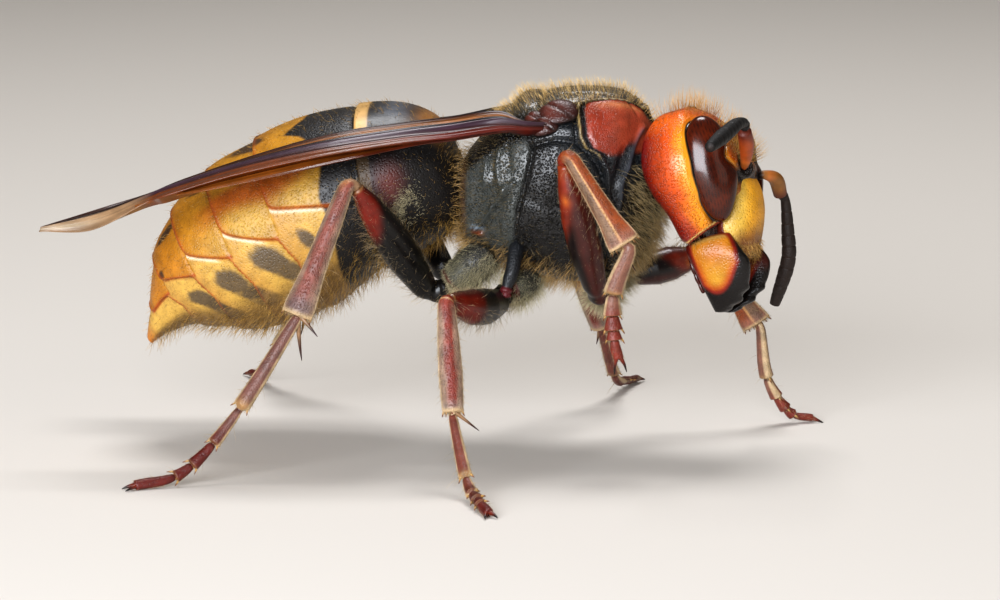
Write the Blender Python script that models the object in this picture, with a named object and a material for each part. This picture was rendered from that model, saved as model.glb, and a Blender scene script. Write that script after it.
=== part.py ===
"""European hornet, a worker at life size, standing with its right fore leg raised.

Sizes are in millimetres and become metres when a mesh is made.
X runs forward to the head, Y to the hornet's left, Z up from the floor.
"""

import math

import bmesh
import bpy
import numpy as np
from mathutils import Matrix, Vector

# Driving dimensions
MM = 0.001
GAP = 0.3
PLACE = (-0.67, 0.02, 0.0)

BODY_SIDES = 24
LIMB_SIDES = 10
TARSUS_SIDES = 8
BORDER_FLARE = 1.02
BORDER_TUCK = 0.96

# Thorax rings from neck to waist: top x, top z, bottom x, bottom z, half width
THORAX_RINGS = (
    (9.70, 11.80, 9.72, 10.75, 0.50),
    (9.32, 12.25, 9.42, 10.20, 0.72),
    (8.95, 13.10, 9.12, 9.20, 0.88),
    (8.42, 13.98, 8.66, 7.90, 1.42),
    (7.65, 14.45, 7.60, 7.05, 2.45),
    (6.20, 14.55, 6.00, 6.80, 3.00),
    (4.80, 14.38, 4.50, 7.05, 3.00),
    (3.50, 13.95, 3.10, 7.40, 2.75),
    (2.60, 13.10, 2.25, 7.80, 2.35),
    (2.00, 12.00, 1.85, 8.60, 1.70),
    (1.65, 10.85, 1.65, 9.60, 0.75),
)
THORAX_SQUARENESS = 2.45

# Where the plates of the thorax part: angle down from the top in degrees, x
PRONOTUM_REAR = ((0, 8.75), (22, 8.1), (45, 6.3), (75, 7.25), (110, 7.7), (145, 8.5), (180, 8.9))
PROPODEUM_FRONT = ((0, 3.15), (35, 3.5), (65, 4.2), (120, 3.75), (180, 3.3))

# Gaster rings from waist to sting: top x, top z, bottom x, bottom z, half width
GASTER_RINGS = (
    (1.30, 10.80, 1.30, 9.65, 0.75),
    (0.98, 11.85, 1.05, 8.95, 1.70),
    (0.45, 13.15, 0.35, 8.25, 2.60),
    (-0.90, 13.68, -0.55, 7.80, 3.15),
    (-2.79, 13.60, -1.55, 7.25, 3.45),
    (-4.90, 13.10, -2.70, 6.40, 3.65),
    (-6.87, 12.17, -3.95, 5.50, 3.55),
    (-8.82, 10.88, -5.75, 4.75, 3.20),
    (-10.20, 9.30, -7.50, 4.60, 2.60),
    (-11.08, 7.50, -9.25, 4.70, 1.80),
    (-11.50, 5.30, -10.80, 4.30, 0.90),
    (-11.66, 4.15, -11.50, 3.90, 0.22),
)
GASTER_SQUARENESS = 2.15
GASTER_BORDERS = (0.0, 4.0, 6.0, 7.0, 8.0, 9.0, 11.0)

# Head, in its own frame: x forward out of the face, y left, z up
HEAD_AT = (10.95, -0.30, 11.15)
HEAD_YAW = -12.0
HEAD_PITCH = -10.0
HEAD_ROLL = -10.0
NAPE_HOLLOW = 1.30
NAPE_HALF_WIDTH = 1.60
HEAD_SIDES = 30
# Height, half width, depth to the face, depth to the nape
HEAD_LEVELS = (
    (-2.75, 1.75, 1.55, 0.35),
    (-2.35, 2.10, 1.85, 0.80),
    (-1.60, 2.55, 2.00, 1.40),
    (-0.70, 2.90, 2.05, 1.95),
    (0.30, 3.05, 2.00, 2.25),
    (1.20, 2.88, 1.62, 2.15),
    (1.90, 2.45, 1.05, 1.80),
    (2.38, 1.75, 0.48, 1.25),
    (2.60, 0.70, 0.00, 0.60),
)
# The lower rim of the head rises towards the face, from this height down
CHEEK_RISE = 0.55
CHEEK_START = (-0.55, -0.90)
FACE_SQUARENESS = 2.05
NAPE_SQUARENESS = 2.35
HEAD_DEEPEST = 2.25

EYE_AT = (1.02, 2.00, 0.02)
EYE_HALF = (0.78, 1.08, 2.12)
EYE_TURN = 55.0
EYE_LEAN = 6.0
EYE_SLANT = 4.5
EYE_TAPER = 0.22
EYE_NOTCH = 0.40
EYE_NOTCH_AT = 0.18
EYE_NOTCH_TALL = 0.22
SOCKET_GAP = 0.24

CLYPEUS_TOP = -0.32
CLYPEUS_LOW = -3.42
CLYPEUS_HALF_WIDTH = 1.42
CLYPEUS_NARROWING = 0.37
CLYPEUS_FRONT = 2.34
CLYPEUS_THICK = 0.65
CLYPEUS_TUCK = 0.40
CLYPEUS_SIDES = 24
# How far out each ring of the shield lies, and how far forward
CLYPEUS_DOME = ((1.0, 0.0), (1.0, 0.25), (0.93, 0.5), (0.72, 0.8), (0.36, 0.96))

MANDIBLE_KEYS = ((0.08, 1.58, -2.80), (0.42, 1.52, -3.52), (0.72, 1.20, -4.50), (0.42, 0.52, -5.60))
MANDIBLE_HALF = ((0.95, 0.40), (1.00, 0.46), (0.90, 0.44), (0.42, 0.25))

# Feelers, as the places of socket, elbow and the curve to the tip
ANTENNA_RIGHT = ((12.91, -1.54, 11.84), (12.78, -3.00, 13.30), (12.36, -5.80, 13.68), (11.78, -8.50, 13.42))
ANTENNA_LEFT = ((13.43, 0.25, 11.08), (14.00, 1.45, 10.12), (14.30, 2.05, 7.30), (13.75, 2.50, 5.45))
SCAPE_SWELL = ((0.22, 0.22), (0.27, 0.27), (0.29, 0.29), (0.27, 0.27))
FLAGELLUM_HALF = 0.30
FLAGELLUM_BEADS = 10

# Where the coxae leave the thorax: x, and the angle down from the top in degrees
HIPS = {"fore": (7.10, 150.0), "mid": (4.20, 152.0), "hind": (2.55, 140.0)}

# Legs: coxa end, knee, tibia end, basitarsus end, foot, claws
LEGS = {
    "hind_right": ((1.25, -2.15, 6.95), (-2.11, -5.50, 11.15), (-4.31, -6.80, 6.36),
                   (-6.67, -8.20, 2.45), (-8.45, -9.30, 0.55), (-10.20, -10.20, 0.18)),
    "mid_right": ((3.55, -2.45, 6.75), (1.69, -7.00, 7.10), (2.01, -8.80, 3.05),
                  (2.74, -10.60, 0.75), (3.35, -12.30, 0.36), (3.90, -13.65, 0.18)),
    "fore_right": ((7.20, -2.70, 6.75), (5.90, -4.95, 12.10), (8.32, -5.60, 9.16),
                   (7.91, -5.60, 7.21), (7.94, -5.50, 5.40), (8.10, -5.40, 4.60)),
    "fore_left": ((7.60, 2.55, 6.65), (10.64, 4.20, 7.15), (12.90, 4.70, 4.30),
                  (13.35, 5.00, 2.00), (14.25, 5.40, 0.50), (15.20, 5.80, 0.18)),
    "mid_left": ((3.70, 2.60, 6.80), (4.90, 6.20, 7.30), (6.20, 8.40, 3.35),
                 (6.70, 10.40, 0.85), (7.00, 12.20, 0.36), (7.35, 13.65, 0.18)),
    "hind_left": ((1.30, 2.20, 6.90), (-3.05, 6.30, 10.60), (-6.30, 8.90, 4.30),
                  (-7.90, 10.80, 1.50), (-8.60, 12.00, 0.40), (-9.25, 13.20, 0.18)),
}
# Half sizes of coxa, femur, knee, narrow and wide end of the tibia, basitarsus
LEG_HALF = {
    "fore": (0.62, 0.70, 0.38, 0.36, 0.60, 0.36),
    "mid": (0.62, 0.62, 0.36, 0.34, 0.58, 0.32),
    "hind": (0.72, 0.72, 0.38, 0.36, 0.66, 0.36),
}
# The swelling of each limb along its length, as shares of its half size and of its half thickness
COXA_SWELL = ((1.0, 1.0), (1.02, 1.0), (0.72, 0.70))
THIGH_START = 0.62
THIGH_SWELL = ((0.72, 0.70), (1.0, 0.86), (0.92, 0.80))
SHIN_WIDE = (0.80, 1.0, 0.92)
SHIN_THICK = (1.15, 1.30, 1.20)
COXA_RADIUS = 0.75
KNEE_RADIUS = 0.50
HIP_RADIUS = 0.62
TARSOMERES = (0.46, 0.17, 0.12, 0.08, 0.17)
TARSOMERE_SWELL = ((0.0, 0.72), (0.55, 0.90), (0.96, 1.0))
FOOT_HALF = 0.27
CLAW_LENGTH = 0.75
CLAW_SPREAD = 0.75
SPINE_HALF = 0.15
SPUR_LENGTH = {"fore": 1.4, "mid": 1.7, "hind": 1.8}
SPUR_LEANS = {"fore": (0.28,), "mid": (-0.4, 0.4), "hind": (-0.4, 0.4)}

TEGULA_AT = (5.45, 48.0)
TEGULA_HALF = (0.70, 0.45, 0.27)

# Wings: rows of inner edge and outer edge from root to tip
FOREWING_RIGHT = (
    ((4.10, -2.90, 13.55), (4.30, -3.40, 13.27)),
    ((3.07, -2.75, 13.90), (3.29, -3.75, 13.29)),
    ((1.20, -2.60, 13.60), (1.39, -4.30, 13.06)),
    ((-0.71, -2.60, 13.35), (-0.44, -4.70, 12.88)),
    ((-3.35, -3.05, 12.95), (-3.70, -5.40, 12.38)),
    ((-6.20, -3.35, 12.15), (-6.95, -5.80, 11.66)),
    ((-9.20, -3.65, 11.25), (-9.60, -6.00, 10.99)),
    ((-12.20, -4.45, 9.85), (-12.40, -6.10, 10.15)),
    ((-14.30, -5.75, 9.38), (-14.45, -6.15, 9.52)),
)
FOREWING_LEFT = (
    ((4.10, 2.90, 13.50), (4.30, 3.40, 13.22)),
    ((2.60, 3.15, 13.25), (2.80, 4.05, 12.80)),
    ((0.80, 3.60, 12.80), (0.90, 4.75, 12.10)),
    ((-0.75, 3.95, 12.55), (-0.85, 5.20, 11.60)),
    ((-3.60, 4.20, 11.95), (-4.30, 5.70, 10.75)),
    ((-6.60, 4.10, 10.95), (-7.40, 5.75, 9.90)),
    ((-9.30, 3.75, 9.85), (-10.00, 5.50, 9.15)),
    ((-12.20, 3.70, 8.70), (-12.60, 5.10, 8.40)),
    ((-14.10, 4.45, 8.10), (-14.30, 4.85, 7.96)),
)
# The part of the forewing, along and across, that the hindwing lies under
HINDWING_ALONG = (0.10, 0.70)
HINDWING_UNDER = {"right": (0.48, 0.98), "left": (0.58, 1.08)}
WING_THICK = 0.50
VEIN_HEIGHT = 0.10
# Places across a wing, each vein's crest between its two feet
FOREWING_ACROSS = (0.0, 0.07, 0.13, 0.19, 0.36, 0.43, 0.50, 0.72, 0.79, 0.86, 1.0)
HINDWING_ACROSS = (0.0, 0.22, 0.32, 0.42, 0.68, 0.78, 0.88, 1.0)

COLOURS = {
    "yellow": ("#E0A42C", 0.42),
    "orange": ("#C8601C", 0.36),
    "red": ("#7A2A16", 0.36),
    "black": ("#1C1715", 0.40),
    "eye": ("#5A2412", 0.18),
    "amber": ("#8A5A34", 0.30),
}


def linear(hex_colour):
    """Turn an sRGB hex colour into linear values with alpha."""
    values = []
    for place in (1, 3, 5):
        part = int(hex_colour[place:place + 2], 16) / 255
        values.append(part / 12.92 if part <= 0.04045 else ((part + 0.055) / 1.055) ** 2.4)
    return (*values, 1.0)


def make_material(name, colour):
    hex_colour, roughness = COLOURS[colour]
    material = bpy.data.materials.new(name)
    material.use_nodes = True
    shader = material.node_tree.nodes["Principled BSDF"]
    shader.inputs["Base Color"].default_value = linear(hex_colour)
    shader.inputs["Roughness"].default_value = roughness
    shader.inputs["Metallic"].default_value = 0.0
    material.diffuse_color = linear(hex_colour)
    return material


def unit(vector):
    vector = np.asarray(vector, float)
    return vector / np.linalg.norm(vector)


def along(rows, place):
    """Read a smooth curve through rows at a place counted in rows."""
    rows = np.asarray(rows, float)
    last = len(rows) - 1
    first = min(max(int(math.floor(place)), 0), last - 1)
    part = place - first
    before = rows[first - 1] if first > 0 else 2 * rows[first] - rows[first + 1]
    after = rows[first + 2] if first + 2 <= last else 2 * rows[first + 1] - rows[first]
    here, there = rows[first], rows[first + 1]
    return 0.5 * (2 * here + (there - before) * part
                  + (2 * before - 5 * here + 4 * there - after) * part ** 2
                  + (3 * here - before - 3 * there + after) * part ** 3)


def curve(rows, count):
    """Evenly numbered points on the smooth curve through rows."""
    return np.array([along(rows, place) for place in np.linspace(0, len(rows) - 1, count)])


def corner(value, squareness):
    """Push a sine or cosine outward so that an oval grows squarer."""
    return math.copysign(abs(value) ** (2 / squareness), value)


def oval(row, angle, squareness, scale=1.0):
    """A point on the ring of one body row, with the angle taken down from the top."""
    top_x, top_z, low_x, low_z, half_width = row
    rise = corner(math.cos(angle), squareness) * scale
    side = corner(math.sin(angle), squareness) * scale
    return np.array(((top_x + low_x) / 2 + (top_x - low_x) / 2 * rise,
                     half_width * side,
                     (top_z + low_z) / 2 + (top_z - low_z) / 2 * rise))


def angles(sides):
    return [2 * math.pi * step / sides for step in range(sides)]


def mesh_from_rings(name, rings, start=None, end=None):
    """Join rings of points into one closed skin, each end a fan round its middle."""
    rings = np.asarray(rings, float)
    count, sides = rings.shape[:2]
    start = rings[0].mean(axis=0) if start is None else np.asarray(start, float)
    end = rings[-1].mean(axis=0) if end is None else np.asarray(end, float)
    points = [*rings.reshape(-1, 3), start, end]
    faces = []
    for ring in range(count - 1):
        for side in range(sides):
            near = ring * sides + side
            beside = ring * sides + (side + 1) % sides
            faces.append((near, beside, beside + sides))
            faces.append((near, beside + sides, near + sides))
    first, last = count * sides, count * sides + 1
    for side in range(sides):
        beside = (side + 1) % sides
        faces.append((beside, side, first))
        faces.append(((count - 1) * sides + side, (count - 1) * sides + beside, last))
    return mesh_from_faces(name, points, faces)


def mesh_from_faces(name, points, faces):
    mesh = bpy.data.meshes.new(name)
    mesh.from_pydata([tuple(np.asarray(point) * MM) for point in points], [], faces)
    turned = bmesh.new()
    turned.from_mesh(mesh)
    bmesh.ops.recalc_face_normals(turned, faces=turned.faces)
    turned.to_mesh(mesh)
    turned.free()
    mesh.shade_smooth()
    mesh.set_sharp_from_angle(angle=math.radians(40))
    return mesh


def tube_rings(path, halves, side_way, sides, low=None):
    """Ovals square to a path: halves are (in the plane of the bend, across it)."""
    path = np.asarray(path, float)
    across = unit(side_way)
    rings = []
    for step, point in enumerate(path):
        ahead = path[min(step + 1, len(path) - 1)]
        behind = path[max(step - 1, 0)]
        way = unit(ahead - behind)
        across = unit(across - way * np.dot(across, way))
        within = np.cross(way, across)
        wide, thick = halves[step]
        ring = [point + within * wide * math.cos(angle + math.pi / sides)
                + across * thick * math.sin(angle + math.pi / sides) for angle in angles(sides)]
        rings.append(ring)
    rings = np.array(rings)
    if low is not None:
        rings[:, :, 2] = np.maximum(rings[:, :, 2], low)
    return rings


def bent_path(start, way_in, end, radius, turn_steps, straight_steps):
    """Leave start along way_in, turn on an arc, then run straight to end."""
    start, way_in, end = np.asarray(start, float), unit(way_in), np.asarray(end, float)
    way_out = unit(end - start)
    for _ in range(6):
        turn = math.acos(max(-1.0, min(1.0, float(np.dot(way_in, way_out)))))
        sideways = unit(way_out - way_in * np.dot(way_in, way_out))
        arc = [start + radius * (math.sin(turn * part) * way_in + (1 - math.cos(turn * part)) * sideways)
               for part in np.linspace(0, 1, turn_steps + 1)]
        way_out = unit(end - arc[-1])
    run = [arc[-1] + (end - arc[-1]) * part for part in np.linspace(0, 1, straight_steps + 1)[1:]]
    return np.array(arc + run), way_out


def swell(parts, count):
    """Half sizes eased along a limb through the given key sizes."""
    return np.array([along(parts, place) for place in np.linspace(0, len(parts) - 1, count)])


class Model:
    """Keeps the collections, the frames and the materials of the hornet."""

    def __init__(self):
        for thing in list(bpy.data.objects):
            bpy.data.objects.remove(thing, do_unlink=True)
        self.parts = bpy.data.collections.new("european_hornet")
        self.cutters = bpy.data.collections.new("cutters")
        for collection in (self.parts, self.cutters):
            bpy.context.scene.collection.children.link(collection)
        self.body = self.frame("body_frame", PLACE)
        self.head = self.frame("head_frame", HEAD_AT, (HEAD_ROLL, HEAD_PITCH, HEAD_YAW), self.body)

    def frame(self, name, place, turns=(0.0, 0.0, 0.0), parent=None):
        empty = bpy.data.objects.new(name, None)
        empty.empty_display_size = 2 * MM
        empty.location = Vector(place) * MM
        empty.rotation_mode = "XYZ"
        empty.rotation_euler = [math.radians(turn) for turn in turns]
        empty.parent = parent
        self.parts.objects.link(empty)
        return empty

    def add(self, name, mesh, colour, parent=None):
        thing = bpy.data.objects.new(name, mesh)
        thing.parent = parent or self.body
        mesh.materials.append(make_material(name, colour))
        self.parts.objects.link(thing)
        return thing

    def cutter(self, name, mesh, parent=None):
        thing = bpy.data.objects.new(name, mesh)
        thing.parent = parent or self.body
        thing.hide_render = True
        thing.display_type = "WIRE"
        self.cutters.objects.link(thing)
        return thing

    def fuse(self, name, meshes, colour, parent=None):
        """Unite closed meshes into one node and keep its largest closed surface."""
        whole = self.add(name, meshes[0], colour, parent)
        extras = bpy.data.collections.new(name + "_extras")
        bpy.context.scene.collection.children.link(extras)
        for place, mesh in enumerate(meshes[1:]):
            thing = bpy.data.objects.new(f"{name}_extra_{place}", mesh)
            thing.parent = whole.parent
            extras.objects.link(thing)
        union = whole.modifiers.new("union", "BOOLEAN")
        union.operation = "UNION"
        union.operand_type = "COLLECTION"
        union.collection = extras
        union.solver = "EXACT"
        bpy.context.view_layer.update()
        seen = whole.evaluated_get(bpy.context.evaluated_depsgraph_get())
        united = bpy.data.meshes.new_from_object(seen)
        whole.modifiers.clear()
        whole.data = united
        keep_largest(united)
        for thing in list(extras.objects):
            bpy.data.objects.remove(thing, do_unlink=True)
        bpy.data.collections.remove(extras)
        return whole


def keep_largest(mesh):
    """Delete every closed surface of a mesh but the largest."""
    shape = bmesh.new()
    shape.from_mesh(mesh)
    left = set(shape.faces)
    pieces = []
    while left:
        seed = left.pop()
        piece, front = {seed}, [seed]
        while front:
            face = front.pop()
            for edge in face.edges:
                for other in edge.link_faces:
                    if other in left:
                        left.remove(other)
                        piece.add(other)
                        front.append(other)
        pieces.append(piece)
    pieces.sort(key=lambda piece: sum(face.calc_area() for face in piece))
    loose = [face for piece in pieces[:-1] for face in piece]
    bmesh.ops.delete(shape, geom=loose, context="FACES")
    shape.to_mesh(mesh)
    shape.free()


def border(table, angle):
    """The x of a plate's edge at an angle, alike on both sides."""
    degrees = math.degrees(angle) % 360
    degrees = min(degrees, 360 - degrees)
    stops, values = zip(*table)
    return float(np.interp(degrees, stops, values))


def thorax_place(x, angle):
    """The row place whose ring point at this angle lies at x."""
    low, high = 0.0, len(THORAX_RINGS) - 1.0
    for _ in range(40):
        middle = (low + high) / 2
        if oval(along(THORAX_RINGS, middle), angle, THORAX_SQUARENESS)[0] > x:
            low = middle
        else:
            high = middle
    return (low + high) / 2


def thorax_point(x, degrees, side):
    """A place on the thorax with its outward way."""
    angle = math.radians(degrees) * side
    place = thorax_place(x, angle)
    here = oval(along(THORAX_RINGS, place), angle, THORAX_SQUARENESS)
    down = oval(along(THORAX_RINGS, place), angle + 0.05, THORAX_SQUARENESS) - here
    back = oval(along(THORAX_RINGS, place + 0.05), angle, THORAX_SQUARENESS) - here
    way = unit(np.cross(down, back))
    middle = np.array((here[0], 0, 10.7))
    return here, way if np.dot(way, here - middle) > 0 else -way


def thorax_plate(front, rear, levels):
    """Rings of one thorax plate between two borders given as functions of the angle."""
    rings = []
    for part in np.linspace(0, 1, levels):
        ring = []
        for angle in angles(BODY_SIDES):
            place = front(angle) + (rear(angle) - front(angle)) * part
            ring.append(oval(along(THORAX_RINGS, place), angle, THORAX_SQUARENESS))
        rings.append(ring)
    return np.array(rings)


def make_thorax(model):
    """Pronotum, mesothorax and propodeum parted by two curved faces."""
    half = GAP / 2
    last = len(THORAX_RINGS) - 1.0

    def pronotum_rear(angle):
        return thorax_place(border(PRONOTUM_REAR, angle) + half, angle)

    def mesothorax_front(angle):
        return thorax_place(border(PRONOTUM_REAR, angle) - half, angle)

    def mesothorax_rear(angle):
        return thorax_place(border(PROPODEUM_FRONT, angle) + half, angle)

    def propodeum_front(angle):
        return thorax_place(border(PROPODEUM_FRONT, angle) - half, angle)

    front_middle = np.array((7.9, 0.0, 10.8))
    rear_middle = np.array((3.7, 0.0, 10.6))
    shift = np.array((half, 0.0, 0.0))
    pronotum = thorax_plate(lambda angle: 0.0, pronotum_rear, 7)
    model.add("pronotum", mesh_from_rings("pronotum", pronotum, end=front_middle + shift), "red")
    middle = thorax_plate(mesothorax_front, mesothorax_rear, 8)
    model.add("mesothorax", mesh_from_rings("mesothorax", middle, front_middle - shift, rear_middle + shift),
              "black")
    rear = thorax_plate(propodeum_front, lambda angle: last, 7)
    model.add("propodeum", mesh_from_rings("propodeum", rear, rear_middle - shift), "black")


def make_gaster(model):
    """Six rings that telescope, each flared at its rear edge."""
    for number in range(6):
        start, end = GASTER_BORDERS[number], GASTER_BORDERS[number + 1]
        middles = [(oval(along(GASTER_RINGS, place), 0, 2) + oval(along(GASTER_RINGS, place), math.pi, 2)) / 2
                   for place in (start, end)]
        step = (end - start) * GAP / 2 / np.linalg.norm(middles[1] - middles[0])
        start = start + step if number > 0 else start
        end = end - step if number < 5 else end
        levels = max(4, int((end - start) * 2.5) + 2)
        rings = []
        for place in np.linspace(start, end, levels):
            part = (place - start) / (end - start)
            tuck = 1.0 if number == 0 else BORDER_TUCK
            flare = BORDER_FLARE if number < 5 else 1.0
            scale = tuck + (flare - tuck) * min(1.0, part * 1.6)
            row = along(GASTER_RINGS, place)
            ring = [oval(row, angle, GASTER_SQUARENESS, scale) for angle in angles(BODY_SIDES)]
            rings.append(ring)
        name = f"gaster_{number + 1}"
        model.add(name, mesh_from_rings(name, rings), "black" if number == 0 else "yellow")


def head_ring(row):
    height, half_width, face, nape = row
    ring = []
    for angle in angles(HEAD_SIDES):
        squareness = FACE_SQUARENESS if math.cos(angle) > 0 else NAPE_SQUARENESS
        forward = corner(math.cos(angle), squareness)
        side = half_width * corner(math.sin(angle), squareness)
        x = forward * (face if forward > 0 else nape)
        if forward < 0:
            hollow = NAPE_HOLLOW * nape / HEAD_DEEPEST
            x += hollow * math.exp(-(side / NAPE_HALF_WIDTH) ** 4) * -forward
        low = min(1.0, max(0.0, (CHEEK_START[1] - height) / 1.6))
        ring.append((x, side, height + CHEEK_RISE * low * max(0.0, x - CHEEK_START[0])))
    return ring


def eye_mesh(name, side, extra):
    """A long oval eye with a notch in its inner edge, grown by extra."""
    shape = bmesh.new()
    bmesh.ops.create_uvsphere(shape, u_segments=18, v_segments=11, radius=1.0)
    depth, across, tall = (half + extra for half in EYE_HALF)
    turn = Matrix.Rotation(math.radians(EYE_TURN) * side, 3, "Z")
    lean = Matrix.Rotation(math.radians(EYE_LEAN) * -side, 3, "X")
    slant = Matrix.Rotation(math.radians(-EYE_SLANT), 3, "Y")
    for vert in shape.verts:
        x, y, z = vert.co
        inner = max(0.0, -y * side)
        notch = EYE_NOTCH * inner * math.exp(-((z - EYE_NOTCH_AT) / EYE_NOTCH_TALL) ** 2)
        slim = 1.0 - EYE_TAPER * max(0.0, -z)
        placed = Vector((x * depth, (y + side * notch) * across * slim, z * tall))
        placed = slant @ lean @ turn @ placed
        vert.co = (placed + Vector((EYE_AT[0], EYE_AT[1] * side, EYE_AT[2]))) * MM
    bmesh.ops.triangulate(shape, faces=shape.faces)
    bmesh.ops.recalc_face_normals(shape, faces=shape.faces)
    mesh = bpy.data.meshes.new(name)
    shape.to_mesh(mesh)
    shape.free()
    mesh.shade_smooth()
    return mesh


def clypeus_mesh(name, extra):
    """A domed shield: rings from its rim to its crown, with a flat back."""
    low, top = CLYPEUS_LOW - extra, CLYPEUS_TOP + extra
    middle, half_tall = (low + top) / 2, (top - low) / 2
    half_wide = CLYPEUS_HALF_WIDTH + extra
    back = CLYPEUS_FRONT - CLYPEUS_THICK - extra
    rings = []
    for reach, depth in CLYPEUS_DOME:
        ring = []
        for angle in angles(CLYPEUS_SIDES):
            side, rise = math.sin(angle), math.cos(angle)
            wide = half_wide * (1.0 - CLYPEUS_NARROWING * max(0.0, rise)) * corner(side, 2.6) * reach
            tall = half_tall * corner(rise, 2.8) * reach
            dome = depth * (CLYPEUS_THICK + 2 * extra)
            bend = 0.22 * (wide / half_wide) ** 2 + 0.18 * (tall / half_tall) ** 2
            bend += CLYPEUS_TUCK * depth * max(0.0, -tall / half_tall)
            ring.append((back + dome - bend, wide, middle + tall))
        rings.append(ring)
    return mesh_from_rings(name, rings, start=(back, 0, middle), end=(CLYPEUS_FRONT + extra, 0, middle))


def make_head(model):
    """Head capsule with sockets for its eyes and a bed for the face shield."""
    levels = curve(HEAD_LEVELS, 13)
    rings = [head_ring(row) for row in levels]
    head = model.add("head", mesh_from_rings("head", rings), "orange", model.head)
    for side, name in ((-1, "right"), (1, "left")):
        model.add("eye_" + name, eye_mesh("eye_" + name, side, 0.0), "eye", model.head)
        socket = model.cutter("socket_" + name, eye_mesh("socket_" + name, side, SOCKET_GAP), model.head)
        cut = head.modifiers.new("socket_" + name, "BOOLEAN")
        cut.object, cut.operation, cut.solver = socket, "DIFFERENCE", "EXACT"
    model.add("clypeus", clypeus_mesh("clypeus", 0.0), "yellow", model.head)
    bed = model.cutter("clypeus_bed", clypeus_mesh("clypeus_bed", SOCKET_GAP), model.head)
    cut = head.modifiers.new("clypeus_bed", "BOOLEAN")
    cut.object, cut.operation, cut.solver = bed, "DIFFERENCE", "EXACT"


def make_mandibles(model):
    for side, name in ((-1, "right"), (1, "left")):
        path = curve([(x, y * side, z) for x, y, z in MANDIBLE_KEYS], 9)
        outward = (0.45, 0.9 * side, 0.0)
        rings = tube_rings(path, swell(MANDIBLE_HALF, 9), outward, 12)
        model.add("mandible_" + name, mesh_from_rings("mandible_" + name, rings), "orange", model.head)


def make_antenna(model, name, keys):
    """Scape, then a beaded flagellum that leaves it at the elbow."""
    socket, elbow, middle, tip = (np.array(key) for key in keys)
    way = unit(elbow - socket)
    path = np.array([socket + (elbow - socket) * part for part in np.linspace(0, 1, 6)])
    rings = tube_rings(path, swell(SCAPE_SWELL, 6), (0.3, 0.1, 1.0), LIMB_SIDES)
    model.add("scape_" + name, mesh_from_rings("scape_" + name, rings), "orange")
    start = elbow + way * GAP
    first = start + way * 0.25
    keys = [start, first, first + (middle - first) * 0.5 + way * 0.15, middle, tip]
    beads = curve(keys, 2 * FLAGELLUM_BEADS + 2)
    halves = []
    for step in range(len(beads)):
        part = step / (len(beads) - 1)
        size = FLAGELLUM_HALF * (0.86 + 0.14 * math.sin(math.pi * min(1.0, part * 1.1)))
        size *= 1.0 if step % 2 else 0.88
        size *= 0.72 if step in (0, len(beads) - 1) else 1.0
        halves.append((size, size))
    rings = tube_rings(beads, halves, (0.2, 0.1, 1.0), LIMB_SIDES)
    model.add("flagellum_" + name, mesh_from_rings("flagellum_" + name, rings), "black")


def cone_spine(root, way, length, half, droop=0.0):
    """A tapered spine from its sunk root, curving down by droop."""
    root, way = np.asarray(root, float), unit(way)
    path = [root + way * length * part - np.array((0, 0, droop * part ** 2))
            for part in (0.0, 0.35, 0.7, 1.0)]
    halves = [(half, half), (half * 0.8, half * 0.8), (half * 0.5, half * 0.5), (half * 0.18, half * 0.18)]
    return tube_rings(path, halves, (0.31, 0.17, 0.93), 6, low=0.0)


def make_coxa(model, name, here, way, thigh, half):
    """The short cone at the hip, which returns the way it points at its end."""
    path, way = bent_path(here + way * GAP, way, thigh, COXA_RADIUS, 3, 3)
    halves = swell([(half * wide, half * thick) for wide, thick in COXA_SWELL], len(path))
    rings = tube_rings(path, halves, (1.0, 0.2, 0.3), LIMB_SIDES)
    model.add("coxa_" + name, mesh_from_rings("coxa_" + name, rings), "black")
    return way


def make_femur(model, name, way, plane, ends, start_half, half, knee_half):
    thigh, knee = ends
    path, way = bent_path(thigh + way * GAP, way, knee, HIP_RADIUS, 4, 5)
    middle = [(half * wide, half * thick) for wide, thick in THIGH_SWELL]
    halves = swell([(start_half, start_half)] * 2 + middle + [(knee_half, knee_half)], len(path))
    rings = tube_rings(path, halves, plane, LIMB_SIDES)
    model.add("femur_" + name, mesh_from_rings("femur_" + name, rings), "red" if "fore" in name else "black")
    return way


def make_tibia(model, name, way, plane, ends, knee_half, shin_half, spur_half):
    """A shin that widens to its end, where its spurs stand."""
    knee, ankle = ends
    kind = name.split("_")[0]
    path, way = bent_path(knee + way * GAP, way, ankle, KNEE_RADIUS, 5, 5)
    wide_end = [(spur_half * wide, shin_half * thick) for wide, thick in zip(SHIN_WIDE, SHIN_THICK)]
    halves = swell([(knee_half, knee_half)] * 2 + [(shin_half, shin_half)] + wide_end, len(path))
    rings = tube_rings(path, halves, plane, LIMB_SIDES, low=0.0)
    pieces = [mesh_from_rings("tibia_" + name, rings)]
    for lean in SPUR_LEANS[kind]:
        spur_way = unit(way + plane * lean + np.cross(plane, way) * 0.55)
        rings = cone_spine(path[-2] + spur_way * 0.1, spur_way, SPUR_LENGTH[kind], SPINE_HALF)
        pieces.append(mesh_from_rings("spur_" + name, rings))
    model.fuse("tibia_" + name, pieces, "red")
    return way


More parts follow.
